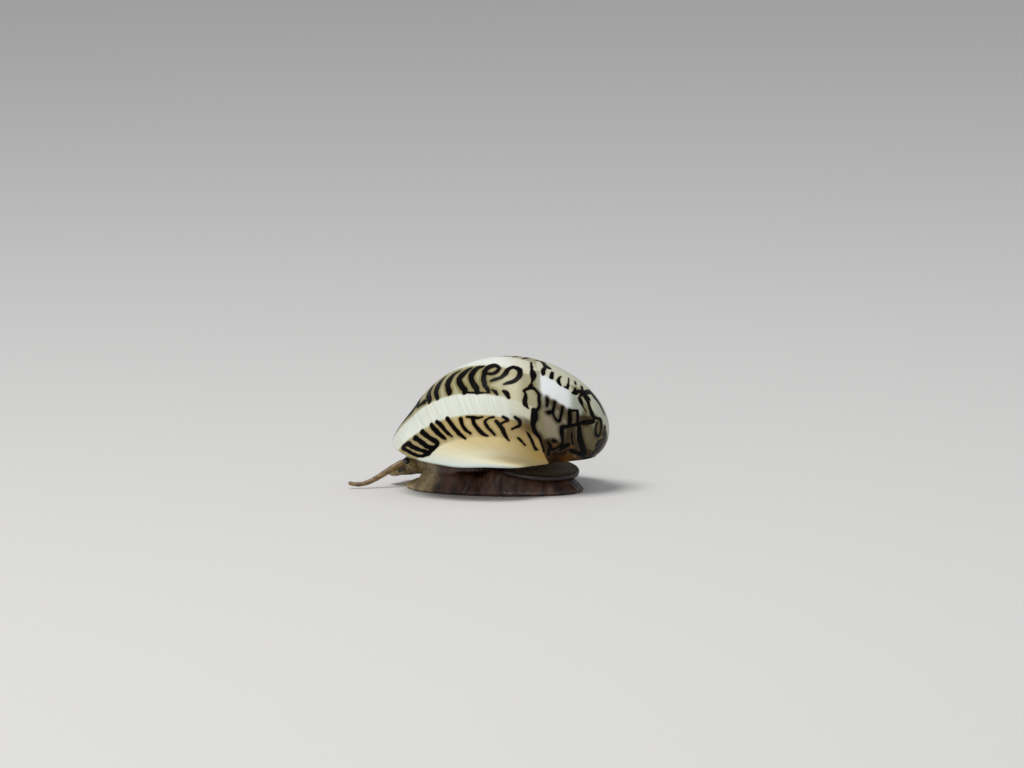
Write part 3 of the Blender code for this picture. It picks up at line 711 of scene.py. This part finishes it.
def body_form(points, rises):
    """The body in the shell, which lines its wall, ends in the mantle's rim and arches over the neck."""
    columns = points[::8]
    count = len(columns)
    angles = full_turn(count)
    front = smooth(radians(106), radians(92), off_ahead(angles))
    rim = rim_lift(angles)
    outward = spokes(angles, np.zeros(count))[1]

    def on_shell(wanted, scales):
        """The point of each column at a wanted place on its scale."""
        found = []
        for column, value, scale in zip(columns, wanted, scales):
            at = np.interp(value, scale, np.arange(UP + 1))
            low = min(int(at), UP - 1)
            found.append(column[low] * (1 - at + low) + column[low + 1] * (at - low))
        return np.array(found)

    def row(inset, height, rear_inset, rear_height):
        ahead = columns[:, 0] - outward * inset
        ahead[:, 2] = rim + height
        behind = on_shell(np.full(count, rear_height), columns[:, :, 2]) - outward * rear_inset
        return ahead * front[:, None] + behind * (1 - front[:, None])

    rows = []
    inner = row(1.5, 0.35, 1.5, BODY_REAR_FLOOR)
    for share, height in ((0.3, 1.75), (0.62, 1.5), (0.85, 1.15)):
        ring = np.zeros((count, 3))
        ring[:, :2] = np.array(NECK) * (1 - share) + inner[:, :2] * share
        ring[:, 2] = height * (1 - share) + inner[:, 2] * share
        ring[:, 2] = np.maximum(ring[:, 2], np.where(inner[:, 0] < -1, 1.1, 0))
        rows.append(ring)
    rows += [
        inner,
        row(1.15, -0.08, 1.2, BODY_REAR_FLOOR),
        row(0.95, -MANTLE_LOW, 1.05, BODY_REAR_FLOOR + 0.05),
        row(0.7, -MANTLE_LOW, 0.9, BODY_REAR_FLOOR + 0.1),
        row(LIP_WALL + 0.02, -0.06, BODY_INSET, BODY_REAR_FLOOR + 0.2),
    ]
    low = np.where(front > 0.5, rim + 0.35, BODY_REAR_FLOOR + 0.4)
    starts = np.array([np.interp(low[i], columns[i, :, 2], rises) for i in range(count)])
    for j in range(13):
        rise = starts + (pi / 2 - starts) * j / 13
        rows.append(on_shell(rise, [rises] * count) - spokes(angles, rise)[1] * BODY_INSET)
    top = points[0, UP] + (0, 0, RIM_HEIGHT - BODY_INSET)
    return closed_form([ring + (0, 0, RIM_HEIGHT) for ring in rows], (*NECK, RIM_HEIGHT + 1.9), top)


def sole_outline(turn):
    x = SOLE_SHIFT + SOLE_HALF_LENGTH * np.cos(turn)
    y = SOLE_HALF_WIDTH * np.sin(turn) * (1 + SOLE_FRONT_FLARE * np.cos(turn))
    return x, y


def operculum_floor(x):
    share = (x - PLATE_REAR) / (PLATE_FRONT - PLATE_REAR)
    return PLATE_LOW + (PLATE_HIGH - PLATE_LOW) * share


def foot_height(x, y, share):
    """The height of the foot's back at x, y, a share of the way out from its middle."""
    neck = np.hypot((x - NECK[0]) / NECK_HALF_LENGTH, y / NECK_HALF_WIDTH)
    mound = FOOT_TOP - (FOOT_TOP - SOLE_EDGE) * smooth(0.95, 1.75, neck)
    ahead = smooth(FOOT_STEP - 0.8, FOOT_STEP + 0.4, x)
    mound = mound * (1 - ahead) + FOOT_FRONT_TOP * ahead
    behind = smooth(PLATE_FRONT + 1.3, PLATE_FRONT + 0.2, x)
    mound = mound * (1 - behind) + (operculum_floor(x) + PLATE_BEDDED) * behind
    return SOLE_EDGE * 0.6 + (mound - SOLE_EDGE * 0.6) * (1 - smooth(0.84, 1.0, share) * 0.9)


def flat_ring(x, y, height):
    return np.stack([x, y, np.full(len(x), height)], -1)


def foot_form(around=200, rings=26):
    turns = full_turn(around)
    x, y = sole_outline(turns)
    flat = flat_ring(x * SOLE_FLAT, y * SOLE_FLAT, 0.0)
    rows = [flat * 0.6, flat, flat_ring(x * 0.985, y * 0.985, 0.07)]
    ripple = 1 + 0.006 * np.sin(23 * turns + 2 * np.sin(3 * turns)) + 0.004 * np.sin(41 * turns)
    x, y = x * ripple, y * ripple
    rows.append(flat_ring(x, y, SOLE_EDGE * 0.45))
    for share in np.arange(rings - 1, 0, -1) / rings:
        px, py = SOLE_SHIFT + (x - SOLE_SHIFT) * share, y * share
        rows.append(np.stack([px, py, foot_height(px, py, share)], -1))
    return closed_form(rows, (SOLE_SHIFT, 0, 0), (SOLE_SHIFT, 0, FOOT_TOP))


def neck_form(around=64):
    turns = full_turn(around)
    rows = []
    for height, width in ((0.9, 0.96), (1.3, 0.98), (1.7, 0.98), (2.6, 0.94), (3.6, 0.9), (4.9, 0.85)):
        x = NECK[0] + NECK_HALF_LENGTH * width * np.cos(turns)
        rows.append(flat_ring(x, NECK_HALF_WIDTH * width * np.sin(turns), height))
    return closed_form(rows, (*NECK, 0.8), (*NECK, 4.9))


def eye_place(side):
    """The root of an eye's stalk, the centre of the eye and the way its stalk points."""
    root = np.array([6.0, side * 1.2, 1.6])
    end = np.array([6.05, side * 1.92, 1.82])
    along = (end - root) / np.linalg.norm(end - root)
    return root, end + along * (0.15 + EYE_RADIUS), along


def head_forms():
    forms = [
        ellipsoid_form((6.2, 0, 1.6), (1.35, 1.5, 0.84), 0.12),
        ellipsoid_form((5.2, 0, 1.85), (1.6, 1.75, 1.15), -0.3),
        ellipsoid_form((4.6, 0, 2.5), (1.5, 1.9, 1.5), -0.5),
        ellipsoid_form((7.1, 0, 1.25), (1.35, 1.3, 0.5), 0.24),
        ellipsoid_form((7.35, 0, 0.92), (1.15, 1.2, 0.3), 0.1),
    ]
    for side in (1, -1):
        shares = np.linspace(0, 1, 41)
        radii = TENTACLE_ROOT + (TENTACLE_TIP - TENTACLE_ROOT) * shares**0.7
        radii = radii + 0.16 * (1 - smooth(0, 0.12, shares))
        radii *= 1 + 0.03 * np.sin(46 * shares)
        root, eye, along = eye_place(side)
        stalk = [root + (eye - along * 0.24 - root) * t for t in (0, 0.35, 0.7, 0.85, 1)]
        forms += [
            ellipsoid_form((7.5, side * 0.66, 1.1), (1.12, 0.84, 0.4), 0.26),
            ellipsoid_form((7.75, side * 0.86, 0.86), (0.86, 0.66, 0.24), 0.16),
            ellipsoid_form((7.05, side * 0.6, 1.5), (1.0, 0.62, 0.4), 0.34),
            ellipsoid_form((6.4, side * 1.0, 1.62), (0.62, 0.55, 0.42), 0.1),
            tube_form(bezier(TENTACLES[side], shares), radii),
            tube_form(stalk, (0.52, 0.44, 0.35, 0.3, 0.25)),
        ]
    return forms


def vertex_table(mesh, name):
    values = np.zeros(len(mesh.vertices) * 3)
    mesh.vertices.foreach_get(name, values)
    return values.reshape(-1, 3)


def make_flesh(shell_points, rises):
    """One skin over the foot, neck, head, tentacles, mantle and the body in the shell."""
    points, faces, count = [], [], 0
    for form in (body_form(shell_points, rises), foot_form(), neck_form(), *head_forms()):
        points.append(form[0])
        faces += [tuple(i + count for i in face) for face in form[1]]
        count += len(form[0])
    rough = mesh_object("rough", np.concatenate(points), faces, 1.0)
    remesh = rough.modifiers.new("remesh", "REMESH")
    remesh.mode = "VOXEL"
    remesh.voxel_size = VOXEL
    soften = rough.modifiers.new("soften", "SMOOTH")
    soften.factor = 0.5
    soften.iterations = 8
    graph = bpy.context.evaluated_depsgraph_get()
    even = bpy.data.meshes.new_from_object(rough.evaluated_get(graph))
    bpy.data.objects.remove(rough)
    co = vertex_table(even, "co")
    co = co + vertex_table(even, "normal") * skin_relief(co)[:, None]
    co[:, 2] = np.maximum(co[:, 2], 0)
    even.vertices.foreach_set("co", (co * MM).ravel())
    even.update()
    even.shade_smooth()
    made = add_object("flesh", even)
    set_attributes(made, pale=paleness(co), tentacle=tentacle_share(co), pigment=pigment(co))
    return made


def skin_relief(co):
    """Small folds of the skin, in millimetres out of the surface."""
    x, y, z = co.T
    turn = np.arctan2(y, x - 0.5)
    side = smooth(0.12, 0.5, z) * smooth(3.2, 2.4, z) * smooth(5.6, 4.6, x)
    folds = np.sin(62 * turn + 2.2 * np.sin(3 * z + 5 * turn)) * 0.6 + np.sin(37 * turn - 4 * z) * 0.4
    head = smooth(5.2, 6.0, x) * smooth(1.9, 1.4, np.abs(y)) * smooth(0.5, 0.8, z)
    sway = 1.6 * np.sin(3.7 * y + 0.8) + 0.9 * np.sin(9.1 * y + 2 * x)
    rings = np.sin(17 * x + sway + 3 * z) * 0.6 + np.sin(11 * x - 1.4 * sway) * 0.4
    cleft = smooth(7.0, 8.1, x) * np.exp(-((y / 0.12) ** 2)) * smooth(0.7, 0.95, z)
    mouth = np.exp(-(((z - 0.74 + 0.06 * (x - 7.4)) / 0.07) ** 2))
    lips = smooth(6.9, 7.4, x) * mouth * smooth(1.5, 1.2, np.abs(y))
    return 0.022 * side * folds + 0.02 * head * rings - 0.09 * cleft - 0.07 * lips


def paleness(co):
    """1 on the pale front of the animal, 0 on its dark sides and rear."""
    x, y, z = co.T
    return smooth(2.3, 3.4, x + 0.25 * np.sin(3.1 * z + 1.3 * y) + 0.15 * np.sin(7 * z - 2 * x))


def tentacle_share(co):
    """0 on the head and body, rising to 1 along each tentacle."""
    share = np.zeros(len(co))
    shares = np.linspace(0.08, 1, 120)
    for marks in TENTACLES.values():
        tree = search_tree(bezier(marks, shares))
        for i in np.nonzero(co[:, 0] > 6.4)[0].tolist():
            _, k, away = tree.find(co[i].tolist())
            if away < 0.45:
                share[i] = max(share[i], shares[k])
    return share


def pigment(co):
    """1 in the dark spot ahead of and below the left eye, fading to 0 round it."""
    spot = np.array(DARK_SPOT)
    away = np.full(len(co), 9.0)
    for k in np.linspace(0, len(spot) - 1, 9):
        centre = [np.interp(k, range(len(spot)), spot[:, i]) for i in range(3)]
        away = np.minimum(away, np.linalg.norm(co - centre, axis=1))
    return smooth(0.3, 0.05, away)


def make_eye(name, side):
    """A black bead with a slight bulge for its lens."""
    _, centre, along = eye_place(side)
    up = np.cross(along, (1.0, 0, 0))
    up /= np.linalg.norm(up)
    turn = full_turn(64)
    ring = np.outer(np.cos(turn), np.cross(along, up)) + np.outer(np.sin(turn), up)
    rows = []
    for t in np.linspace(0, pi, 42)[1:-1]:
        radius = EYE_RADIUS * (1 + 0.05 * exp(-((t / 0.55) ** 2)))
        rows.append(centre + radius * (cos(t) * along + sin(t) * ring))
    form = closed_form(rows, centre + along * EYE_RADIUS * 1.05, centre - along * EYE_RADIUS)
    return weld(mesh_object(name, *form))


def make_operculum():
    """The half-moon plate on the back of the foot, with growth lines that curve round its nucleus."""
    around, rings = 160, 24
    turn = full_turn(around)
    ahead = np.cos(turn)
    depth = np.where(ahead > 0, PLATE_FRONT - PLATE_CENTRE, PLATE_CENTRE - PLATE_REAR)
    dx = depth * np.copysign(np.abs(ahead) ** 0.9, ahead)
    dy = PLATE_HALF_WIDTH * np.sin(turn)
    nucleus = (0.6, -1.6)

    def ring(share, lift, crown):
        x = PLATE_CENTRE + nucleus[0] * (1 - share) + dx * share
        y = nucleus[1] * (1 - share) + dy * share
        out = np.hypot(dx * share, dy * share) / PLATE_HALF_WIDTH
        groove = 0.012 * np.sin(2 * pi * share * PLATE_GROOVES + 1.2 * np.sin(turn))
        z = operculum_floor(x) + lift + crown * (1 - out**2) + groove * (crown > 0)
        return np.stack([x, y, z], -1)

    outwards = np.arange(1, rings + 1)
    rows = [ring(0.985 * k / rings, 0.0, 0.0) for k in outwards]
    rows += [ring(1.0, 0.12, 0.0), ring(1.0, 0.24, 0.0)]
    rows += [ring(0.985 * k / rings, 0.32, 0.12) for k in outwards[::-1]]
    made = mesh_object("operculum_plate", *closed_form(rows, rows[0].mean(0), rows[-1].mean(0)))
    reach = np.concatenate([outwards / rings, [1, 1], outwards[::-1] / rings])
    set_attributes(made, reach=np.append(np.repeat(reach, around), [0, 0]))
    return weld(made)


# Materials


def colour(red, green, blue):
    """A colour given as it looks on a screen, 0 to 255, made linear."""
    linear = [c / 255 / 12.92 if c <= 10 else ((c / 255 + 0.055) / 1.055) ** 2.4 for c in (red, green, blue)]
    return (*linear, 1.0)


class Nodes:
    """Adds shader nodes to a new material and links them. Its colours are given as they look, 0 to 255."""

    def __init__(self, name):
        self.material = bpy.data.materials.new(name)
        self.material.use_nodes = True
        self.tree = self.material.node_tree

    def put(self, socket, value):
        if isinstance(value, bpy.types.NodeSocket):
            self.tree.links.new(value, socket)
        else:
            socket.default_value = colour(*value) if socket.type == "RGBA" else value

    def add(self, kind, inputs, output=0, **settings):
        node = self.tree.nodes.new("ShaderNode" + kind)
        for key, value in settings.items():
            setattr(node, key, value)
        for key, value in inputs.items():
            self.put(node.inputs[key], value)
        return node.outputs[output]

    def attribute(self, name):
        return self.add("Attribute", {}, "Fac", attribute_name=name)

    def math(self, operation, a, b):
        return self.add("Math", {0: a, 1: b}, operation=operation)

    def times(self, a, b):
        return self.math("MULTIPLY", a, b)

    def ramp(self, value, low, high, start=0.0, end=1.0):
        inputs = {"Value": value, "From Min": low, "From Max": high, "To Min": start, "To Max": end}
        return self.add("MapRange", inputs, interpolation_type="SMOOTHSTEP")

    def mix(self, factor, a, b):
        return self.add("Mix", {0: factor, 6: a, 7: b}, 2, data_type="RGBA")

    def over(self, ground, *layers):
        """A ground with layers of (factor, colour) laid over it in turn."""
        for factor, tone in layers:
            ground = self.mix(factor, ground, tone)
        return ground

    def noise(self, scale, detail, vector=None, roughness=0.5):
        vector = vector or self.add("TexCoord", {}, "Object")
        inputs = {"Vector": vector, "Scale": scale, "Detail": detail, "Roughness": roughness}
        return self.add("TexNoise", inputs)

    def bump(self, height, strength, distance, **under):
        return self.add("Bump", {"Height": height, "Strength": strength, "Distance": distance, **under})

    def finish(self, values):
        """The material, with values on the shader's own sockets."""
        for key, value in values.items():
            self.put(self.tree.nodes["Principled BSDF"].inputs[key], value)
        return self.material


def shell_material():
    n = Nodes("shell_striped")
    mix, over, ramp, times = n.mix, n.over, n.ramp, n.times
    ink, age, height, striped, inside = map(n.attribute, ("ink", "age", "height", "striped", "inside"))
    growth = n.add("CombineXYZ", {"X": times(age, 30), "Y": times(height, 0.05)})
    lines = n.noise(1, 4, growth, 0.6)
    broad, fine = n.noise(420, 3), n.noise(2600, 3)

    # The youngest part, from the lip back to the first pause.
    white = over(
        mix(ramp(lines, 0.3, 0.7), (212, 218, 202), (232, 234, 222)),
        (ramp(broad, 0.45, 0.75, 0, 0.35), (222, 216, 186)),
        # Painted light: from height 53 upwards the white on top of the shell is lightened, as if lit from
        # above.
        (ramp(height, 53, 57, 0, 0.6), (246, 248, 242)),
        (ramp(age, 1.35, 1.85, 0, 0.7), (196, 190, 156)),
    )
    under_band = times(ramp(height, 19, 26), ramp(age, 0.2, 0.9))
    # Painted shade: the base darkens towards the shell's lower edge, below height 21, where shade falls near
    # the rim.
    painted_low_shade = times(ramp(height, 21, 16), ramp(age, 0.4, 0.95))
    base = over(
        (234, 229, 198),
        (ramp(age, 0.3, 1.75), (184, 154, 88)),
        (under_band, mix(ramp(age, 1.1, 1.75), (222, 202, 146), (172, 146, 90))),
        (times(painted_low_shade, 0.8), (176, 160, 116)),
        (ramp(lines, 0.3, 0.7, 0, 0.12), (150, 128, 80)),
    )
    between = times(ramp(ink, -0.1, -0.28), 0.6)
    sandy = over(
        (164, 150, 108),
        (ramp(age, 0.3, 1), (184, 161, 108)),
        (between, (204, 192, 154)),
        (ramp(age, 1.1, 1.7), (172, 148, 98)),
    )
    late = over(
        (206, 199, 168),
        (ramp(height, 47, 52), (184, 177, 144)),
        (ramp(age, 1.62, 1.76), (166, 160, 128)),
    )
    khaki = over(
        (142, 133, 90),
        (ramp(height, 50, 58), (164, 155, 118)),
        (between, (194, 189, 158)),
        (ramp(age, 1.35, 1.6), late),
    )
    above_base = ramp(height, 29, 33)
    shade = times(times(ramp(age, 1.46, 1.76), ramp(height, 37.5, 35.5)), above_base)
    young = over(
        mix(ramp(age, 0.02, 0.5), (200, 210, 204), base),
        (above_base, white),
        (striped, mix(ramp(height, 34, 40), sandy, khaki)),
        (times(shade, 0.9), (88, 68, 42)),
    )

    # The part before the first pause, and the worn whorls before the second.
    low = n.math("ADD", height, times(fine, 6))
    brown = mix(ramp(broad, 0.5, 0.65), (34, 19, 8), (96, 62, 22))
    clear = over(
        (232, 235, 233),
        (ramp(age, 2.28, 2.42), (168, 174, 158)),
        (ramp(age, 2.48, 2.64), (134, 138, 114)),
    )
    grey = over(
        (150, 140, 116),
        (ramp(height, 40, 46), (154, 152, 132)),
        (ramp(height, 46.2, 49.2), clear),
        (ramp(height, 56.2, 58.2), (206, 206, 182)),
    )
    worn = mix(ramp(height, 56.4, 58.6), (98, 87, 56), (198, 202, 182))
    wear = ramp(age, 3.4, 5)
    worn = over(
        mix(ramp(low, 42, 46), brown, worn),
        (ramp(age, 6.5, 8.5), (202, 203, 188)),
        (times(times(wear, ramp(broad, 0.5, 0.6)), 0.7), (226, 222, 204)),
        (times(times(wear, ramp(broad, 0.44, 0.38)), 0.5), (150, 128, 86)),
    )
    old = ramp(age, FIRST_PAUSE - 0.01, FIRST_PAUSE + 0.03)
    ground = over(
        young,
        (old, mix(ramp(low, 33.5, 37.5), brown, grey)),
        (ramp(age, SECOND_PAUSE + 0.1, SECOND_PAUSE + 0.25), worn),
        (times(n.attribute("olive"), 0.75), (132, 128, 92)),
        (times(n.attribute("slate"), 0.9), (104, 94, 64)),
        (times(n.attribute("umber"), 0.9), (44, 27, 10)),
        (n.attribute("amber"), (128, 84, 28)),
    )

    # The dark marks, with uneven edges and a brown fringe, and the lining of the mouth.
    wobble = times(n.math("SUBTRACT", fine, 0.5), 0.08)
    sway = times(n.math("SUBTRACT", n.noise(1300, 1), 0.5), 0.1)
    edge = n.math("ADD", ink, n.math("ADD", wobble, sway))
    fringe = times(ramp(edge, -0.27, -0.03, 0, 0.7), times(old, ramp(height, 51, 47.5)))
    surface = over(
        ground,
        (ramp(edge, -0.11, -0.02, 0, 0.35), (104, 80, 42)),
        (fringe, (62, 50, 34)),
        (ramp(edge, -0.03, 0.02), mix(ramp(broad, 0.5, 0.75), (3, 2, 2), (12, 7, 3))),
        (ramp(inside, 0.5, 0.9), mix(ramp(broad, 0.3, 0.7), (222, 224, 214), (206, 200, 178))),
    )
    return n.finish({
        "Base Color": surface,
        "Roughness": ramp(fine, 0.3, 0.7, 0.3, 0.42),
        "Specular IOR Level": 0.06,
        "Subsurface Weight": 0.03,
        "Subsurface Radius": (0.0012, 0.0009, 0.0006),
        "Normal": n.bump(fine, 0.25, 0.00002, Normal=n.bump(lines, 0.2, 0.00004)),
    })


def shelf_material():
    n = Nodes("shelf")
    fine = n.noise(3600, 3)
    tone = n.mix(n.ramp(n.noise(600, 4), 0.35, 0.65), (226, 220, 200), (196, 176, 132))
    return n.finish({
        "Base Color": n.mix(n.ramp(fine, 0.4, 0.7, 0, 0.4), tone, (196, 176, 132)),
        "Roughness": n.ramp(fine, 0.3, 0.7, 0.25, 0.37),
        "Coat Weight": 0.2,
        "Normal": n.bump(fine, 0.2, 0.00003),
    })


def flesh_material():
    n = Nodes("flesh")
    point = n.add("TexCoord", {}, "Object")
    stretched = n.add("Mapping", {"Vector": point, "Scale": (900, 900, 260)})
    streaks = n.noise(1, 4, stretched, 0.6)
    fine = n.noise(3800, 3)
    light = n.over(
        n.mix(n.ramp(streaks, 0.3, 0.7), (132, 110, 66), (182, 164, 118)),
        (n.ramp(n.noise(500, 3), 0.45, 0.7, 0, 0.6), (86, 70, 46)),
        (n.ramp(n.noise(4300, 2), 0.56, 0.68, 0, 0.75), (52, 38, 22)),
    )
    feeler = n.mix(n.ramp(fine, 0.4, 0.6), (138, 108, 62), (96, 72, 38))
    # The painted dark spot ahead of and below the left eye, with an uneven edge.
    spot = n.math("ADD", n.attribute("pigment"), n.times(n.math("SUBTRACT", fine, 0.5), 0.7))
    skin = n.over(
        n.mix(n.ramp(streaks, 0.35, 0.7), (34, 18, 10), (88, 56, 40)),
        (n.attribute("pale"), light),
        (n.ramp(n.attribute("tentacle"), 0.1, 0.25), feeler),
        (n.ramp(spot, 0.35, 0.75, 0, 0.9), (24, 17, 12)),
    )
    return n.finish({
        "Base Color": skin,
        "Roughness": n.ramp(fine, 0.3, 0.7, 0.3, 0.48),
        "Subsurface Weight": 0.12,
        "Subsurface Radius": (0.0009, 0.0005, 0.0003),
        "Coat Weight": 0.12,
        "Coat Roughness": 0.22,
        "Normal": n.bump(fine, 0.35, 0.00004, Normal=n.bump(streaks, 0.5, 0.00008)),
    })


def operculum_material():
    n = Nodes("operculum")
    reach = n.attribute("reach")
    fine = n.noise(3000, 3)
    lines = n.math("SINE", n.times(n.math("ADD", reach, n.times(fine, 0.03)), 150), 0)
    plate = n.mix(n.ramp(lines, -1, 1), (58, 42, 32), (98, 78, 58))
    return n.finish({
        "Base Color": n.mix(n.ramp(reach, 0.82, 0.97), plate, (34, 20, 14)),
        "Roughness": n.ramp(fine, 0.3, 0.7, 0.35, 0.5),
        "Normal": n.bump(lines, 0.3, 0.00003),
    })


def eye_material():
    n = Nodes("eye")
    fine = n.noise(5000, 2)
    return n.finish({
        "Base Color": n.mix(fine, (6, 6, 9), (16, 13, 14)),
        "Roughness": n.ramp(fine, 0.3, 0.7, 0.06, 0.12),
        "Coat Weight": 0.6,
        "Coat Roughness": 0.03,
    })


# The stage

VIEW_YAW = radians(33.71)
VIEW_PITCH = radians(7.19)
VIEW_ROLL = radians(1.56)
VIEW_DISTANCE = 900.0
PIXEL = 0.0694
IMAGE_WIDTH = 1024
SHELL_LEFT_OF_MIDDLE = 14.7
SHELL_BELOW_MIDDLE = 71.93
SENSOR_WIDTH = 36.0


def place_camera():
    right = Vector((-cos(VIEW_YAW), -sin(VIEW_YAW), 0))
    away = Vector((sin(VIEW_YAW), -cos(VIEW_YAW), 0))
    ahead = away * cos(VIEW_PITCH) - Vector((0, 0, sin(VIEW_PITCH)))
    up = away * sin(VIEW_PITCH) + Vector((0, 0, cos(VIEW_PITCH)))
    across = right * cos(VIEW_ROLL) - up * sin(VIEW_ROLL)
    rise = right * sin(VIEW_ROLL) + up * cos(VIEW_ROLL)
    shift = across * SHELL_LEFT_OF_MIDDLE * PIXEL + rise * SHELL_BELOW_MIDDLE * PIXEL
    place = (Vector((0, 0, RIM_HEIGHT)) + shift - ahead * VIEW_DISTANCE) * MM
    data = bpy.data.cameras.new("camera")
    data.sensor_width = SENSOR_WIDTH
    data.lens = SENSOR_WIDTH * VIEW_DISTANCE / (IMAGE_WIDTH * PIXEL)
    data.clip_start = 0.05
    data.clip_end = 20.0
    camera = add_object("camera", data)
    turn = Matrix((across, rise, -ahead)).transposed().to_4x4()
    camera.matrix_world = Matrix.Translation(place) @ turn
    bpy.context.scene.camera = camera


def area_light(name, place, size, power):
    """A round light at a place, turned towards the snail."""
    data = bpy.data.lights.new(name, "AREA")
    data.shape = "DISK"
    data.size = size
    data.energy = power
    light = add_object(name, data)
    light.location = place
    light.rotation_euler = (Vector((0, 0, 0.005)) - Vector(place)).to_track_quat("-Z", "Y").to_euler()


def make_stage(half=4.0):
    corners = [(-half, -half, 0), (half, -half, 0), (half, half, 0), (-half, half, 0)]
    floor = mesh_object("floor", corners, [(0, 1, 2, 3)], 1.0)
    finish = Nodes("floor_pale").finish({"Base Color": (226, 224, 220), "Roughness": 0.85})
    floor.data.materials.append(finish)
    world = bpy.data.worlds.new("studio")
    world.use_nodes = True
    sky = world.node_tree.nodes["Background"].inputs
    sky[0].default_value = (0.9, 0.93, 1.0, 1.0)
    sky[1].default_value = 0.35
    scene = bpy.context.scene
    scene.world = world
    area_light("key", (0.05, 0.12, 0.35), 0.22, 0.85)
    area_light("fill", (-0.15, 0.35, 0.12), 0.25, 0.3)
    scene.view_settings.view_transform = "Standard"
    scene.view_settings.look = "None"


def dress(piece, finish, slot, *nodes):
    """Gives a piece its material, lets it ride on the snail and puts it in place of solids. The slot is not
    used.
    """
    piece.data.materials.clear()
    piece.data.materials.append(finish)
    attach(piece, "root")
    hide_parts(*nodes)


def main():
    shell, shell_points, rises = make_shell()
    dress(shell, shell_material(), "shell", "shell_body_whorl", "shell_spire")
    dress(
        make_flesh(shell_points, rises), flesh_material(), "flesh_dark",
        "body_in_shell", "mantle_edge", "foot_front", "foot_rear", "head", "snout",
        "tentacle_left_root", "tentacle_left_tip", "tentacle_right_root", "tentacle_right_tip",
        "eye_stalk_left", "eye_stalk_right",
    )
    eye_finish = eye_material()
    dress(make_eye("eye_bead_left", 1), eye_finish, "eye", "eye_left")
    dress(make_eye("eye_bead_right", -1), eye_finish, "eye", "eye_right")
    dress(make_operculum(), operculum_material(), "operculum", "operculum")
    bpy.data.objects["columellar_shelf"].material_slots[0].material = shelf_material()
    place_camera()
    make_stage()


main()
